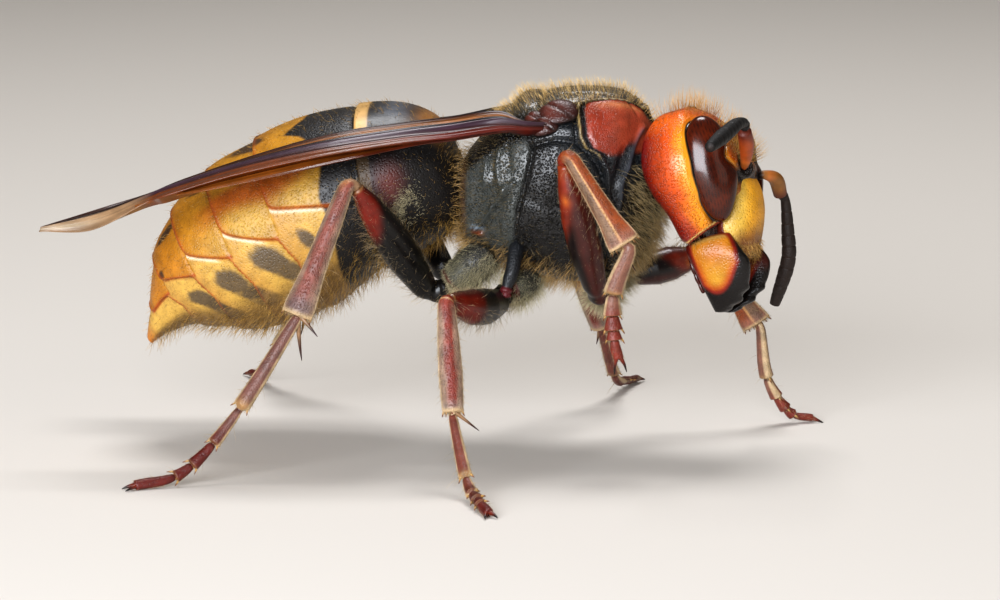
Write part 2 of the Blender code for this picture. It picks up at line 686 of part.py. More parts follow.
def make_tarsus(model, name, way, side_way, places, heel_half):
    """Five tarsomeres with flared ends, and a pair of claws."""
    ankle, heel, toe, claws = places
    start = ankle + way * GAP
    fine = curve([start, start + way * GAP, heel, toe, claws], 200)
    lengths = np.concatenate(([0], np.cumsum(np.linalg.norm(np.diff(fine, axis=0), axis=1))))
    total = lengths[-1]
    stations, halves = [], []
    reach = 0.0
    for number, share in enumerate(TARSOMERES):
        size = heel_half * (1.0 - 0.08 * number) if number < 4 else FOOT_HALF
        for part, swelling in TARSOMERE_SWELL:
            stations.append((reach + share * part) * total)
            halves.append((size * swelling, size * swelling * 0.86))
        reach += share
    stations.append(total)
    halves.append((FOOT_HALF * 0.7, FOOT_HALF * 0.7))
    path = np.array([[np.interp(place, lengths, fine[:, axis]) for axis in range(3)] for place in stations])
    pieces = [mesh_from_rings("tarsus_" + name, tube_rings(path, halves, side_way, TARSUS_SIDES, low=0.0))]
    tip_way = unit(path[-1] - path[-4])
    flat = unit(np.cross(tip_way, side_way))
    for spread in (-CLAW_SPREAD, CLAW_SPREAD):
        droop = 0.25 if name == "fore_right" else 0.12
        rings = cone_spine(path[-1] - tip_way * 0.15, tip_way + flat * spread, CLAW_LENGTH, SPINE_HALF, droop)
        pieces.append(mesh_from_rings("claw_" + name, rings))
    model.fuse("tarsus_" + name, pieces, "red")


def make_leg(model, name):
    """Coxa, femur, tibia and tarsus, each leaving the one before face to face."""
    kind, side = name.split("_")
    thigh, knee, ankle, heel, toe, claws = (np.array(place) for place in LEGS[name])
    hip, way = thorax_point(*HIPS[kind], 1 if side == "left" else -1)
    coxa_half, femur_half, knee_half, shin_half, spur_half, heel_half = LEG_HALF[kind]
    plane = unit(np.cross(knee - thigh, ankle - knee))
    way = make_coxa(model, name, hip, way, thigh, coxa_half)
    way = make_femur(model, name, way, plane, (thigh, knee), coxa_half * THIGH_START, femur_half, knee_half)
    way = make_tibia(model, name, way, plane, (knee, ankle), knee_half, shin_half, spur_half)
    side_way = plane if name == "fore_right" else (0.0, 0.0, 1.0)
    make_tarsus(model, name, way, side_way, (ankle, heel, toe, claws), heel_half)


def wing_frame(rows, steps):
    """Inner edge, outer edge and upward ways of a wing along its length."""
    rows = np.asarray(rows, float)
    inner, outer = curve(rows[:, 0], steps), curve(rows[:, 1], steps)
    ups = []
    for step in range(steps):
        ahead, behind = min(step + 1, steps - 1), max(step - 1, 0)
        way = inner[ahead] + outer[ahead] - inner[behind] - outer[behind]
        up = unit(np.cross(outer[step] - inner[step], way))
        ups.append(up if up[2] > 0 else -up)
    return inner, outer, np.array(ups)


def hindwing_rows(name, inner, outer, ups):
    """The hindwing keeps to a strip under the forewing, a gap below it."""
    drop = ups * (WING_THICK + GAP + VEIN_HEIGHT)
    near, far = (inner + (outer - inner) * across - drop for across in HINDWING_UNDER[name])
    places = np.linspace(*HINDWING_ALONG, 7) * (len(inner) - 1)
    rows = [(along(near, place), along(far, place)) for place in places]
    middle = (rows[-1][0] + rows[-1][1]) / 2
    rows[-1] = tuple(middle + (edge - middle) * 0.45 for edge in rows[-1])
    return rows


def make_wing(model, name, rows, across_places, steps):
    """A thin folded blade with its main veins raised in its own surface."""
    inner, outer, ups = wing_frame(rows, steps)
    top, low = [], []
    for step in range(steps):
        part = step / (steps - 1)
        thick = WING_THICK * (1.0 - 0.5 * max(0.0, part - 0.8) / 0.2)
        for column, across in enumerate(across_places):
            ridge = VEIN_HEIGHT * (1 - 0.6 * part) if column % 3 == 2 else 0.0
            rim = min(1.0, 0.45 + 3.0 * min(across, 1 - across))
            place = inner[step] + (outer[step] - inner[step]) * across
            top.append(place + ups[step] * ridge)
            low.append(place - ups[step] * thick * rim)
    width, count = len(across_places), len(top)
    faces = []
    for step in range(steps - 1):
        for column in range(width - 1):
            here = step * width + column
            for corners in ((here, here + 1, here + width + 1), (here, here + width + 1, here + width)):
                faces.append(corners)
                faces.append(tuple(count + place for place in reversed(corners)))
    rim_loop = list(range(width))
    rim_loop += [step * width + width - 1 for step in range(1, steps)]
    rim_loop += [(steps - 1) * width + column for column in range(width - 2, -1, -1)]
    rim_loop += [step * width for step in range(steps - 2, 0, -1)]
    for near, beside in zip(rim_loop, rim_loop[1:] + rim_loop[:1]):
        faces.append((near, beside, beside + count))
        faces.append((near, beside + count, near + count))
    model.add(name, mesh_from_faces(name, top + low, faces), "amber")


def make_tegula(model, side, name):
    """The small scale over the wing root, held clear of the thorax."""
    here, way = thorax_point(*TEGULA_AT, side)
    shape = bmesh.new()
    bmesh.ops.create_uvsphere(shape, u_segments=12, v_segments=6, radius=1.0)
    forward = unit(np.array((1.0, 0.0, 0.1)) - way * np.dot((1.0, 0.0, 0.1), way))
    across = np.cross(way, forward)
    length, width, height = TEGULA_HALF
    middle = here + way * (GAP + height)
    for vert in shape.verts:
        x, y, z = vert.co
        vert.co = Vector(middle + forward * length * x + across * width * y + way * height * z) * MM
    bmesh.ops.triangulate(shape, faces=shape.faces)
    bmesh.ops.recalc_face_normals(shape, faces=shape.faces)
    mesh = bpy.data.meshes.new("tegula_" + name)
    shape.to_mesh(mesh)
    shape.free()
    mesh.shade_smooth()
    model.add("tegula_" + name, mesh, "red")


def main():
    model = Model()
    make_thorax(model)
    make_gaster(model)
    make_head(model)
    make_mandibles(model)
    make_antenna(model, "right", ANTENNA_RIGHT)
    make_antenna(model, "left", ANTENNA_LEFT)
    for name in LEGS:
        make_leg(model, name)
    for side, name, rows in ((-1, "right", FOREWING_RIGHT), (1, "left", FOREWING_LEFT)):
        make_wing(model, "forewing_" + name, rows, FOREWING_ACROSS, 18)
        under = hindwing_rows(name, *wing_frame(rows, 18))
        make_wing(model, "hindwing_" + name, under, HINDWING_ACROSS, 13)
        make_tegula(model, side, name)


main()
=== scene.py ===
# %% [markdown]
# # A european hornet, a worker at life size
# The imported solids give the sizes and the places. This notebook dresses them: one fine skin for
# each part of the body, markings worked out by rule, thin wings, glossy eyes and a coat of hair.
# Sizes are in millimetres and become metres when a mesh is made.
# X runs forward to the head, Y to the hornet's left, Z up from the floor.

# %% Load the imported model
import math

import bpy
import numpy as np
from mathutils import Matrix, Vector


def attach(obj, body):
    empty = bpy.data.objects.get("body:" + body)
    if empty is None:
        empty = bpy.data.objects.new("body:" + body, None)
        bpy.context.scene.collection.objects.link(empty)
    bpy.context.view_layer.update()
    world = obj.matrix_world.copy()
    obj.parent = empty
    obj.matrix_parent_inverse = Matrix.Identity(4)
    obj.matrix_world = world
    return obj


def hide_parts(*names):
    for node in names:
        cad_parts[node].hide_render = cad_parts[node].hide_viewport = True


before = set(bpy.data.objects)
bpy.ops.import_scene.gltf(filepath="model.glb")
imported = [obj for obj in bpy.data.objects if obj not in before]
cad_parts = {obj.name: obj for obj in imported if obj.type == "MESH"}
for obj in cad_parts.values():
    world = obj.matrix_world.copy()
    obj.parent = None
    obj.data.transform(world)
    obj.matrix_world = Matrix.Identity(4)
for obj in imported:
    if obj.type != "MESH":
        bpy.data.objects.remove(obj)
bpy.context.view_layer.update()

# %% [markdown]
# ## Named sizes
# These are the driving sizes of the solids, so every skin lies on the node that it stands for.
# A place counted in rows runs from the neck to the waist, or from the waist to the sting.

# %% Sizes of the body
MM = 0.001
# The solids of two joints keep this gap.
GAP = 0.3
# The body is moved by this much, so that the box is centred.
PLACE = np.array((-0.67, 0.02, 0.0))
# Each ring: x and z of its top, x and z of its underside, half its width.
THORAX_RINGS = np.array((
    (9.70, 11.80, 9.72, 10.75, 0.50), (9.32, 12.25, 9.42, 10.20, 0.72), (8.95, 13.10, 9.12, 9.20, 0.88),
    (8.42, 13.98, 8.66, 7.90, 1.42), (7.65, 14.45, 7.60, 7.05, 2.45), (6.20, 14.55, 6.00, 6.80, 3.00),
    (4.80, 14.38, 4.50, 7.05, 3.00), (3.50, 13.95, 3.10, 7.40, 2.75), (2.60, 13.10, 2.25, 7.80, 2.35),
    (2.00, 12.00, 1.85, 8.60, 1.70), (1.65, 10.85, 1.65, 9.60, 0.75)))
THORAX_SQUARENESS = 2.45
GASTER_RINGS = np.array((
    (1.30, 10.80, 1.30, 9.65, 0.75), (0.98, 11.85, 1.05, 8.95, 1.70), (0.45, 13.15, 0.35, 8.25, 2.60),
    (-0.90, 13.68, -0.55, 7.80, 3.15), (-2.79, 13.60, -1.55, 7.25, 3.45), (-4.90, 13.10, -2.70, 6.40, 3.65),
    (-6.87, 12.17, -3.95, 5.50, 3.55), (-8.82, 10.88, -5.75, 4.75, 3.20), (-10.20, 9.30, -7.50, 4.60, 2.60),
    (-11.08, 7.50, -9.25, 4.70, 1.80), (-11.50, 5.30, -10.80, 4.30, 0.90), (-11.66, 4.15, -11.50, 3.90, 0.22)))
GASTER_SQUARENESS = 2.15
GASTER_BORDERS = np.array((0.0, 4.0, 6.0, 7.0, 8.0, 9.0, 11.0))

# %% Sizes of the head, in its own frame: x out of the face, y left, z up
HEAD_AT = np.array((10.95, -0.30, 11.15))
HEAD_TURNS = (-10.0, -10.0, -12.0)
NAPE_HOLLOW = 1.30
NAPE_HALF_WIDTH = 1.60
# Each level: its height, half its width, its reach to the front, its reach to the back.
HEAD_LEVELS = np.array((
    (-2.82, 2.00, 1.50, 0.60), (-2.55, 2.24, 1.75, 0.98), (-1.60, 2.55, 2.00, 1.40), (-0.70, 2.90, 2.05, 1.95),
    (0.30, 3.05, 2.00, 2.25), (1.20, 2.90, 1.62, 2.23), (1.90, 2.53, 1.05, 2.04), (2.38, 2.05, 0.48, 1.67),
    (2.60, 1.15, 0.00, 1.10)))
CHEEK_SLOPE, CHEEK_FROM, CHEEK_TOP, CHEEK_TALL = 0.58, -0.25, -0.90, 1.6
FACE_SQUARENESS = 2.05
NAPE_SQUARENESS = 2.35
HEAD_DEEPEST = 2.25
EYE_AT = np.array((1.02, 2.00, 0.02))
EYE_HALF = np.array((0.78, 1.08, 2.12))
EYE_TURN, EYE_LEAN, EYE_SLANT = 55.0, 6.0, 4.5
EYE_TAPER, EYE_NOTCH, EYE_NOTCH_AT, EYE_NOTCH_TALL = 0.22, 0.40, 0.18, 0.22
# Each feeler: its socket, its elbow, the middle of its whip, its tip.
ANTENNAE = {
    "right": ((12.91, -1.54, 11.84), (12.78, -3.00, 13.30), (12.36, -5.80, 13.68), (11.78, -8.50, 13.42)),
    "left": ((13.43, 0.25, 11.08), (14.00, 1.45, 10.12), (14.30, 2.05, 7.30), (13.75, 2.50, 5.45)),
}

# %% Sizes of the legs
# Each hip: its x and its degrees down from the top of the thorax.
HIPS = {"fore": (7.10, 150.0), "mid": (4.20, 152.0), "hind": (2.55, 140.0)}
# Each leg: start of the thigh, knee, ankle, heel, toe, claws.
LEGS = {
    "hind_right": ((1.25, -2.15, 6.95), (-2.11, -5.50, 11.15), (-4.31, -6.80, 6.36),
                   (-6.67, -8.20, 2.45), (-8.45, -9.30, 0.55), (-10.20, -10.20, 0.18)),
    "mid_right": ((3.55, -2.45, 6.75), (1.69, -7.00, 7.10), (2.01, -8.80, 3.05),
                  (2.74, -10.60, 0.75), (3.35, -12.30, 0.36), (3.90, -13.65, 0.18)),
    "fore_right": ((7.20, -2.70, 6.75), (5.90, -4.95, 12.10), (8.32, -5.60, 9.16),
                   (7.91, -5.60, 7.21), (7.94, -5.50, 5.40), (8.10, -5.40, 4.60)),
    "fore_left": ((7.60, 2.55, 6.65), (10.64, 4.20, 7.15), (12.90, 4.70, 4.30),
                  (13.35, 5.00, 2.00), (14.25, 5.40, 0.50), (15.20, 5.80, 0.18)),
    "mid_left": ((3.70, 2.60, 6.80), (4.90, 6.20, 7.30), (6.20, 8.40, 3.35),
                 (6.70, 10.40, 0.85), (7.00, 12.20, 0.36), (7.35, 13.65, 0.18)),
    "hind_left": ((1.30, 2.20, 6.90), (-3.05, 6.30, 10.60), (-6.30, 8.90, 4.30),
                  (-7.90, 10.80, 1.50), (-8.60, 12.00, 0.40), (-9.25, 13.20, 0.18)),
}
# Half the width of hip, thigh and foot.
LEG_HALF = {"fore": (0.62, 0.70, 0.36), "mid": (0.62, 0.62, 0.32), "hind": (0.72, 0.72, 0.36)}
COXA_SWELL = ((1.0, 1.0), (1.06, 1.04), (0.90, 0.86))
COXA_RADIUS, KNEE_RADIUS, HIP_RADIUS = 0.75, 0.50, 0.62
# Share of the foot's length for each of its five joints.
TARSOMERES = (0.46, 0.17, 0.12, 0.08, 0.17)
FOOT_HALF = 0.27

# %% Sizes of the wings, as rows of inner edge and outer edge from root to tip
FOREWINGS = {
    "right": (((4.10, -2.90, 13.55), (4.30, -3.40, 13.27)), ((3.07, -2.75, 13.90), (3.29, -3.75, 13.29)),
              ((1.20, -2.60, 13.60), (1.39, -4.30, 13.06)), ((-0.71, -2.60, 13.35), (-0.44, -4.70, 12.88)),
              ((-3.35, -3.05, 12.95), (-3.70, -5.40, 12.38)), ((-6.20, -3.35, 12.15), (-6.95, -5.80, 11.66)),
              ((-9.20, -3.65, 11.25), (-9.60, -6.00, 10.99)), ((-12.20, -4.45, 9.85), (-12.40, -6.10, 10.15)),
              ((-14.30, -5.75, 9.38), (-14.45, -6.15, 9.52))),
    "left": (((4.10, 2.90, 13.50), (4.30, 3.40, 13.22)), ((2.60, 3.15, 13.25), (2.80, 4.05, 12.80)),
             ((0.80, 3.60, 12.80), (0.90, 4.75, 12.10)), ((-0.75, 3.95, 12.55), (-0.85, 5.20, 11.60)),
             ((-3.60, 4.20, 11.95), (-4.30, 5.70, 10.75)), ((-6.60, 4.10, 10.95), (-7.40, 5.75, 9.90)),
             ((-9.30, 3.75, 9.85), (-10.00, 5.50, 9.15)), ((-12.20, 3.70, 8.70), (-12.60, 5.10, 8.40)),
             ((-14.10, 4.45, 8.10), (-14.30, 4.85, 7.96))),
}


# %% [markdown]
# ## Curves, rings and smooth steps
# A body of hard plates is a loft: ovals strung along a line. A smooth curve through the named
# rows gives each ring, and the same helpers serve body, limbs and wings.

# %% Curve helpers
def unit(vectors):
    vectors = np.asarray(vectors, float)
    return vectors / np.maximum(np.linalg.norm(vectors, axis=-1, keepdims=True), 1e-9)


def along(rows, place):
    """Read the smooth curve through rows at a place counted in rows."""
    rows = np.asarray(rows, float)
    last = len(rows) - 1
    first = min(max(int(math.floor(place)), 0), last - 1)
    part = place - first
    before = rows[first - 1] if first > 0 else 2 * rows[first] - rows[first + 1]
    after = rows[first + 2] if first + 2 <= last else 2 * rows[first + 1] - rows[first]
    here, there = rows[first], rows[first + 1]
    return 0.5 * (2 * here + (there - before) * part
                  + (2 * before - 5 * here + 4 * there - after) * part ** 2
                  + (3 * here - before - 3 * there + after) * part ** 3)


def curve(rows, count):
    return np.array([along(rows, place) for place in np.linspace(0, len(rows) - 1, count)])


def corner(value, squareness):
    return np.sign(value) * np.abs(value) ** (2 / squareness)


def step(value, low, high):
    """0 below low, 1 above high, and eased between them."""
    part = np.clip((value - low) / (high - low), 0, 1)
    return part * part * (3 - 2 * part)


def bump(value, middle, reach):
    """A hill of height 1 at middle, fading over reach."""
    return np.exp(-((value - middle) / reach) ** 2)


def angle_row(count):
    return np.arange(count) * 2 * math.pi / count


def body_grid(rings, squareness, places, count):
    """Points of a body loft, with the angle taken down from the top."""
    rows = np.array([along(rings, place) for place in places])[:, None, :]
    angles = angle_row(count)[None, :]
    rise, side = corner(np.cos(angles), squareness), corner(np.sin(angles), squareness)
    return np.stack(((rows[..., 0] + rows[..., 2]) / 2 + (rows[..., 0] - rows[..., 2]) / 2 * rise,
                     rows[..., 4] * side,
                     (rows[..., 1] + rows[..., 3]) / 2 + (rows[..., 1] - rows[..., 3]) / 2 * rise), axis=-1)


def grid_normals(points):
    """Outward ways of a grid that closes round its columns."""
    down = np.gradient(points, axis=0)
    across = np.roll(points, -1, axis=1) - np.roll(points, 1, axis=1)
    ways = unit(np.cross(down, across))
    outward = points - points.mean(axis=1, keepdims=True)
    facing = np.sign(np.sum(ways * outward, axis=(1, 2)))
    facing[facing == 0] = 1
    return ways * np.sign(facing.sum())


def face_out(normals, grid, row):
    """Turn all normals so that those of one row point out."""
    return normals * np.sign(np.sum(normals[row] * (grid[row] - grid[row].mean(axis=0))))


def down_rows(shape):
    """0 at the first row and 1 at the last, for each point."""
    return np.broadcast_to(np.linspace(0, 1, shape[0])[:, None], shape)


def lengths_along(path):
    """How far along a path each of its points is, in mm."""
    return np.concatenate(([0], np.cumsum(np.linalg.norm(np.diff(path, axis=0), axis=1))))


def fall(value, low, high):
    """1 below low, 0 above high, and eased between them."""
    return 1 - step(value, low, high)


def off_top(count):
    """Degrees down from the top for each column, alike on both sides."""
    turn = np.degrees(angle_row(count))
    return np.minimum(turn, 360 - turn)[None, :]


print("a body ring is", np.round(body_grid(THORAX_RINGS, THORAX_SQUARENESS, [5.0], 4)[0], 2).tolist())


# %% [markdown]
# ## Colours and the cuticle
# The shell of an insect is cuticle, a hard varnish-like skin over pigment. It is glossy where it
# is smooth and satin where pits and fine hairs break it. Markings are computed for each point of
# a skin and kept in an attribute named paint, which skin and coat share. The shader adds mottle,
# pits with painted shade in their hollows and painted light on their rims, and gloss.

# %% Colours
def linear(hex_colour):
    """Turn an sRGB hex colour into linear values."""
    values = np.array([int(hex_colour[place:place + 2], 16) / 255 for place in (1, 3, 5)])
    return np.where(values <= 0.04045, values / 12.92, ((values + 0.055) / 1.055) ** 2.4)


def mix(below, above, share):
    """Lay one colour over another by a share for each point."""
    return below + (above - below) * np.asarray(share)[..., None]


def lay(ground, *layers):
    """Lay (hex colour, share for each point) layers over a ground, one after another."""
    for hex_colour, share in layers:
        ground = mix(ground, linear(hex_colour), share)
    return ground


def coat_of(shape, hex_colour):
    """One colour for every point of a grid."""
    return np.broadcast_to(linear(hex_colour), (*shape, 3)).copy()


# %% Nodes and the cuticle
def add_node(tree, kind, settings=None, **inputs):
    """Add a node. Inputs are named, or numbered as i0, i1: a socket is linked, a value is set."""
    node = tree.nodes.new(kind)
    for name, value in (settings or {}).items():
        setattr(node, name, value)
    for name, value in inputs.items():
        socket = node.inputs[int(name[1:])] if name[0] == "i" and name[1:].isdigit() else \
            node.inputs[name.replace("_", " ")]
        if isinstance(value, bpy.types.NodeSocket):
            tree.links.new(value, socket)
        else:
            socket.default_value = value
    return node


# The middle part of a noise, which is spread over the tones.
CLOUD = (0.3, 0.7)


def start_material(name, **settings):
    """A new material with its shader's settings, the place of each point and its painted colour."""
    material = bpy.data.materials.new(name)
    material.use_nodes = True
    tree = material.node_tree
    shader = tree.nodes["Principled BSDF"]
    for setting, value in settings.items():
        shader.inputs[setting.replace("_", " ")].default_value = value
    place = add_node(tree, "ShaderNodeTexCoord").outputs["Object"]
    paint = add_node(tree, "ShaderNodeAttribute", {"attribute_name": "paint"}).outputs["Color"]
    return material, tree, shader, place, paint


def remap(tree, value, window, ends):
    """Stretch a value from its window to the two ends."""
    return add_node(tree, "ShaderNodeMapRange", Value=value, From_Min=window[0], From_Max=window[1],
                    To_Min=ends[0], To_Max=ends[1]).outputs["Result"]


def noise(tree, place, size_mm, detail, **more):
    return add_node(tree, "ShaderNodeTexNoise", Vector=place, Scale=1000 / size_mm, Detail=detail,
                    **more).outputs["Fac"]


def times(tree, first, second):
    return add_node(tree, "ShaderNodeMath", {"operation": "MULTIPLY"}, i0=first, i1=second).outputs["Value"]


def tint(tree, shader, paint, shade):
    """Make the painted colour times a shade the base colour."""
    tinted = add_node(tree, "ShaderNodeVectorMath", {"operation": "SCALE"}, i0=paint, Scale=shade)
    tree.links.new(tinted.outputs["Vector"], shader.inputs["Base Color"])


def relief(tree, height, depth_mm, strength, shader=None, **more):
    """A relief of a height, which the shader reads if it is given."""
    raised = add_node(tree, "ShaderNodeBump", Strength=strength, Distance=depth_mm * MM, Height=height, **more)
    if shader:
        tree.links.new(raised.outputs["Normal"], shader.inputs["Normal"])
    return raised.outputs["Normal"]


def cuticle(name, pit_mm, pit_depth_mm, roughness, coat, mottle, painted_pit_shade):
    """Insect shell: pigment under a clear hard skin with a wax film, IOR 1.50, dimpled every pit_mm."""
    material, tree, shader, place, paint = start_material(
        name, IOR=1.50, Coat_Weight=coat, Coat_Roughness=0.18)
    pits = add_node(tree, "ShaderNodeAttribute", {"attribute_name": "pits"}).outputs["Fac"]
    cloud = noise(tree, place, 0.45, 4.0)
    cells = add_node(tree, "ShaderNodeTexVoronoi", Vector=place, Scale=1000 / pit_mm, Randomness=0.9)
    dent = add_node(tree, "ShaderNodeMapRange", {"interpolation_type": "SMOOTHSTEP"},
                    Value=cells.outputs["Distance"], From_Min=0.02, From_Max=0.58).outputs["Result"]
    # Painted shade and light: the middle of each pit is darkened and its rim lightened.
    hollow = remap(tree, dent, (0.0, 1.0), (-painted_pit_shade, painted_pit_shade * 0.5))
    hollow = add_node(tree, "ShaderNodeMath", {"operation": "MULTIPLY_ADD"}, i0=hollow, i1=pits, i2=1.0)
    mottled = remap(tree, cloud, CLOUD, (1.0 - mottle, 1.0 + mottle))
    tint(tree, shader, paint, times(tree, mottled, hollow.outputs["Value"]))
    grain = relief(tree, noise(tree, place, pit_mm * 0.6, 2.0), pit_depth_mm * 0.3, 0.35)
    relief(tree, times(tree, dent, pits), pit_depth_mm, 1.0, shader, Normal=grain)
    rough = remap(tree, cloud, CLOUD, (roughness - 0.06, roughness + 0.08))
    gloss = times(tree, rough, remap(tree, pits, (0.0, 1.0), (0.62, 1.0)))
    tree.links.new(gloss, shader.inputs["Roughness"])
    return material


# Pit size and depth in mm, roughness, wax film, mottle, painted shade in the pits.
FINISHES = {
    "head": cuticle("orange_head_cuticle", 0.085, 0.035, 0.27, 0.22, 0.12, 0.16),
    "face": cuticle("yellow_face_cuticle", 0.10, 0.024, 0.44, 0.04, 0.14, 0.10),
    "yellow": cuticle("yellow_ring_cuticle", 0.10, 0.022, 0.52, 0.02, 0.20, 0.16),
    "black": cuticle("black_pitted_cuticle", 0.075, 0.042, 0.29, 0.06, 0.25, 0.30),
    "leg": cuticle("red_leg_cuticle", 0.08, 0.022, 0.50, 0.0, 0.30, 0.20),
    "whip": cuticle("matt_feeler_cuticle", 0.07, 0.010, 0.60, 0.0, 0.25, 0.10),
    "smooth": cuticle("smooth_cuticle", 0.09, 0.014, 0.36, 0.10, 0.25, 0.15),
}
print("cuticle finishes:", sorted(FINISHES))


# %% [markdown]
# ## From grids to meshes
# Each skin is a grid of rings closed round its columns and fanned shut at both ends. The grid is
# kept, because the coat grows from it.

# %% Mesh helpers
def bare_mesh(name, world, corners, starts):
    """A smooth mesh of points in metres, from all faces' corners and where each face starts."""
    mesh = bpy.data.meshes.new(name)
    mesh.vertices.add(len(world))
    mesh.vertices.foreach_set("co", world.astype(np.float32).ravel())
    mesh.loops.add(len(corners))
    mesh.loops.foreach_set("vertex_index", corners.astype(np.int32))
    mesh.polygons.add(len(starts))
    mesh.polygons.foreach_set("loop_start", starts.astype(np.int32))
    mesh.update(calc_edges=True)
    mesh.shade_smooth()
    return mesh


def build_mesh(name, points, quads, triangles):
    """A mesh from arrays, turned so that its faces point out."""
    world = (np.asarray(points) + PLACE) * MM
    quads, triangles = np.asarray(quads, int).reshape(-1, 4), np.asarray(triangles, int).reshape(-1, 3)
    every = np.concatenate((quads[:, :3], quads[:, [0, 2, 3]], triangles))
    middle = world.mean(axis=0)
    a, b, c = (world[every[:, k]] - middle for k in range(3))
    if np.sum(a * np.cross(b, c)) < 0:
        quads, triangles = quads[:, ::-1], triangles[:, ::-1]
    starts = np.concatenate((np.arange(len(quads)) * 4, len(quads) * 4 + np.arange(len(triangles)) * 3))
    mesh = bare_mesh(name, world, np.concatenate((quads.ravel(), triangles.ravel())), starts)
    mesh.validate()
    return mesh


def keep_values(mesh, paint, pits):
    """Keep the colour and the share of pits of each point as attributes."""
    colours = mesh.color_attributes.new("paint", "FLOAT_COLOR", "POINT")
    opaque = np.column_stack((paint, np.ones(len(paint)))).astype(np.float32)
    colours.data.foreach_set("color", opaque.ravel())
    depth = mesh.attributes.new("pits", "FLOAT", "POINT")
    depth.data.foreach_set("value", np.asarray(pits, np.float32))


def add_piece(name, mesh, finish, replaced=()):
    """Put a mesh into the scene as a piece of the model."""
    piece = bpy.data.objects.new(name, mesh)
    bpy.context.scene.collection.objects.link(piece)
    mesh.materials.append(finish)
    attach(piece, "root")
    if replaced:
        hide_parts(*replaced)
    return piece


def grid_faces(rows, columns, first):
    """Quads of a grid closed round its columns, and the fans that shut its ends."""
    row, column = np.meshgrid(np.arange(rows - 1), np.arange(columns), indexing="ij")
    beside = (column + 1) % columns
    quads = np.stack((row * columns + column, row * columns + beside,
                      (row + 1) * columns + beside, (row + 1) * columns + column), axis=-1)
    quads = quads.reshape(-1, 4) + first
    start, end = first + rows * columns, first + rows * columns + 1
    near, far = np.arange(columns), (np.arange(columns) + 1) % columns
    low = first + (rows - 1) * columns
    triangles = np.concatenate((np.stack((far + first, near + first, np.full(columns, start)), axis=-1),
                                np.stack((near + low, far + low, np.full(columns, end)), axis=-1)))
    return quads, triangles


def skin_from(name, grids, finish, replaced):
    """Join closed grids, each (points, paint, pits), into one piece."""
    points, paints, pits, quads, triangles = [], [], [], [], []
    first = 0
    for grid, paint, pit in grids:
        rows, columns = grid.shape[:2]
        more_quads, more_triangles = grid_faces(rows, columns, first)
        quads.append(more_quads)
        triangles.append(more_triangles)
        points += [grid.reshape(-1, 3), grid[0].mean(axis=0)[None], grid[-1].mean(axis=0)[None]]
        paints += [paint.reshape(-1, 3), paint[0].mean(axis=0)[None], paint[-1].mean(axis=0)[None]]
        pits += [np.broadcast_to(pit, (rows, columns)).ravel(), np.zeros(2)]
        first += rows * columns + 2
    mesh = build_mesh(name, np.concatenate(points), np.concatenate(quads), np.concatenate(triangles))
    keep_values(mesh, np.concatenate(paints), np.concatenate(pits))
    piece = add_piece(name, mesh, finish, replaced)
    print(f"{name}: {len(mesh.polygons)} faces")
    return piece


# %% [markdown]
# ## The thorax
# The thorax is a capsule of fused plates: the red-brown collar (pronotum), the black back and
# sides with their seams, and the grooved rear plate (propodeum) above the waist. Grooves, ridges
# and raised edges are small pushes along the surface's own outward way.

# %% Thorax skin
# Lines across the thorax: (degrees down from the top, x).
COLLAR_REAR = ((0, 8.75), (20, 8.45), (24, 7.9), (27, 7.0), (31, 6.15), (38, 6.12), (50, 6.22), (60, 6.30),
               (67, 6.52), (71, 6.98), (80, 7.3), (110, 7.7), (145, 8.5), (180, 8.9))
SIDE_SEAM = ((0, 3.6), (35, 3.9), (55, 4.30), (66, 4.46), (75, 4.40), (86, 4.22), (97, 3.92), (120, 3.82),
             (180, 3.4))
CARINA = ((0, 8.9), (40, 8.70), (50, 8.58), (67, 8.30), (81, 8.11), (89, 7.87), (105, 7.80), (180, 8.0))
# The skin departs from the solids only at the waist.
THORAX_SKIN = THORAX_RINGS.copy()
THORAX_SKIN[-2] = (1.78, 12.20, 1.62, 8.35, 2.00)
THORAX_SKIN[-1] = (1.30, 11.25, 1.25, 9.20, 1.15)
DEGREE_MM = 0.055
# Grooves (below 0) and ridges: points as (x, degrees down from the top), height and reach in mm.
THORAX_LINES = (
    (((4.5, 64), (5.4, 61.5), (6.1, 63), (6.7, 71), (7.2, 82)), -0.16, 0.10),
    (((5.0, 52), (6.15, 55)), 0.12, 0.28),
    (((2.50, 60), (2.60, 68), (2.52, 82)), 0.10, 0.10), (((3.16, 64), (3.02, 74), (3.14, 84)), 0.13, 0.13),
    (((3.78, 86), (3.30, 90), (2.85, 97), (2.30, 112), (1.95, 124)), 0.10, 0.08),
    (((3.50, 96), (3.45, 118)), 0.08, 0.30), (((3.95, 104), (3.90, 124)), 0.10, 0.09),
    (((2.82, 62), (2.90, 82)), -0.10, 0.14), (((3.45, 62), (3.55, 78)), -0.06, 0.14),
    (((3.55, 93), (3.00, 100), (2.40, 118)), -0.12, 0.10), (((3.10, 106), (3.15, 124)), -0.06, 0.10))


def read(table, place):
    """Read a table of (place, value) pairs."""
    stops, values = zip(*table)
    return np.interp(place, stops, values)


def off_line(x, degrees, line):
    """How many mm a place is from a line drawn on the side, given as (x, degrees) points."""
    line = np.array(line, float) * (1, DEGREE_MM)
    down = degrees * DEGREE_MM
    best = np.full(x.shape, 99.0)
    for start, end in zip(line[:-1], line[1:]):
        run = end - start
        part = np.clip(((x - start[0]) * run[0] + (down - start[1]) * run[1]) / np.dot(run, run), 0, 1)
        best = np.minimum(best, np.hypot(x - start[0] - part * run[0], down - start[1] - part * run[1]))
    return best


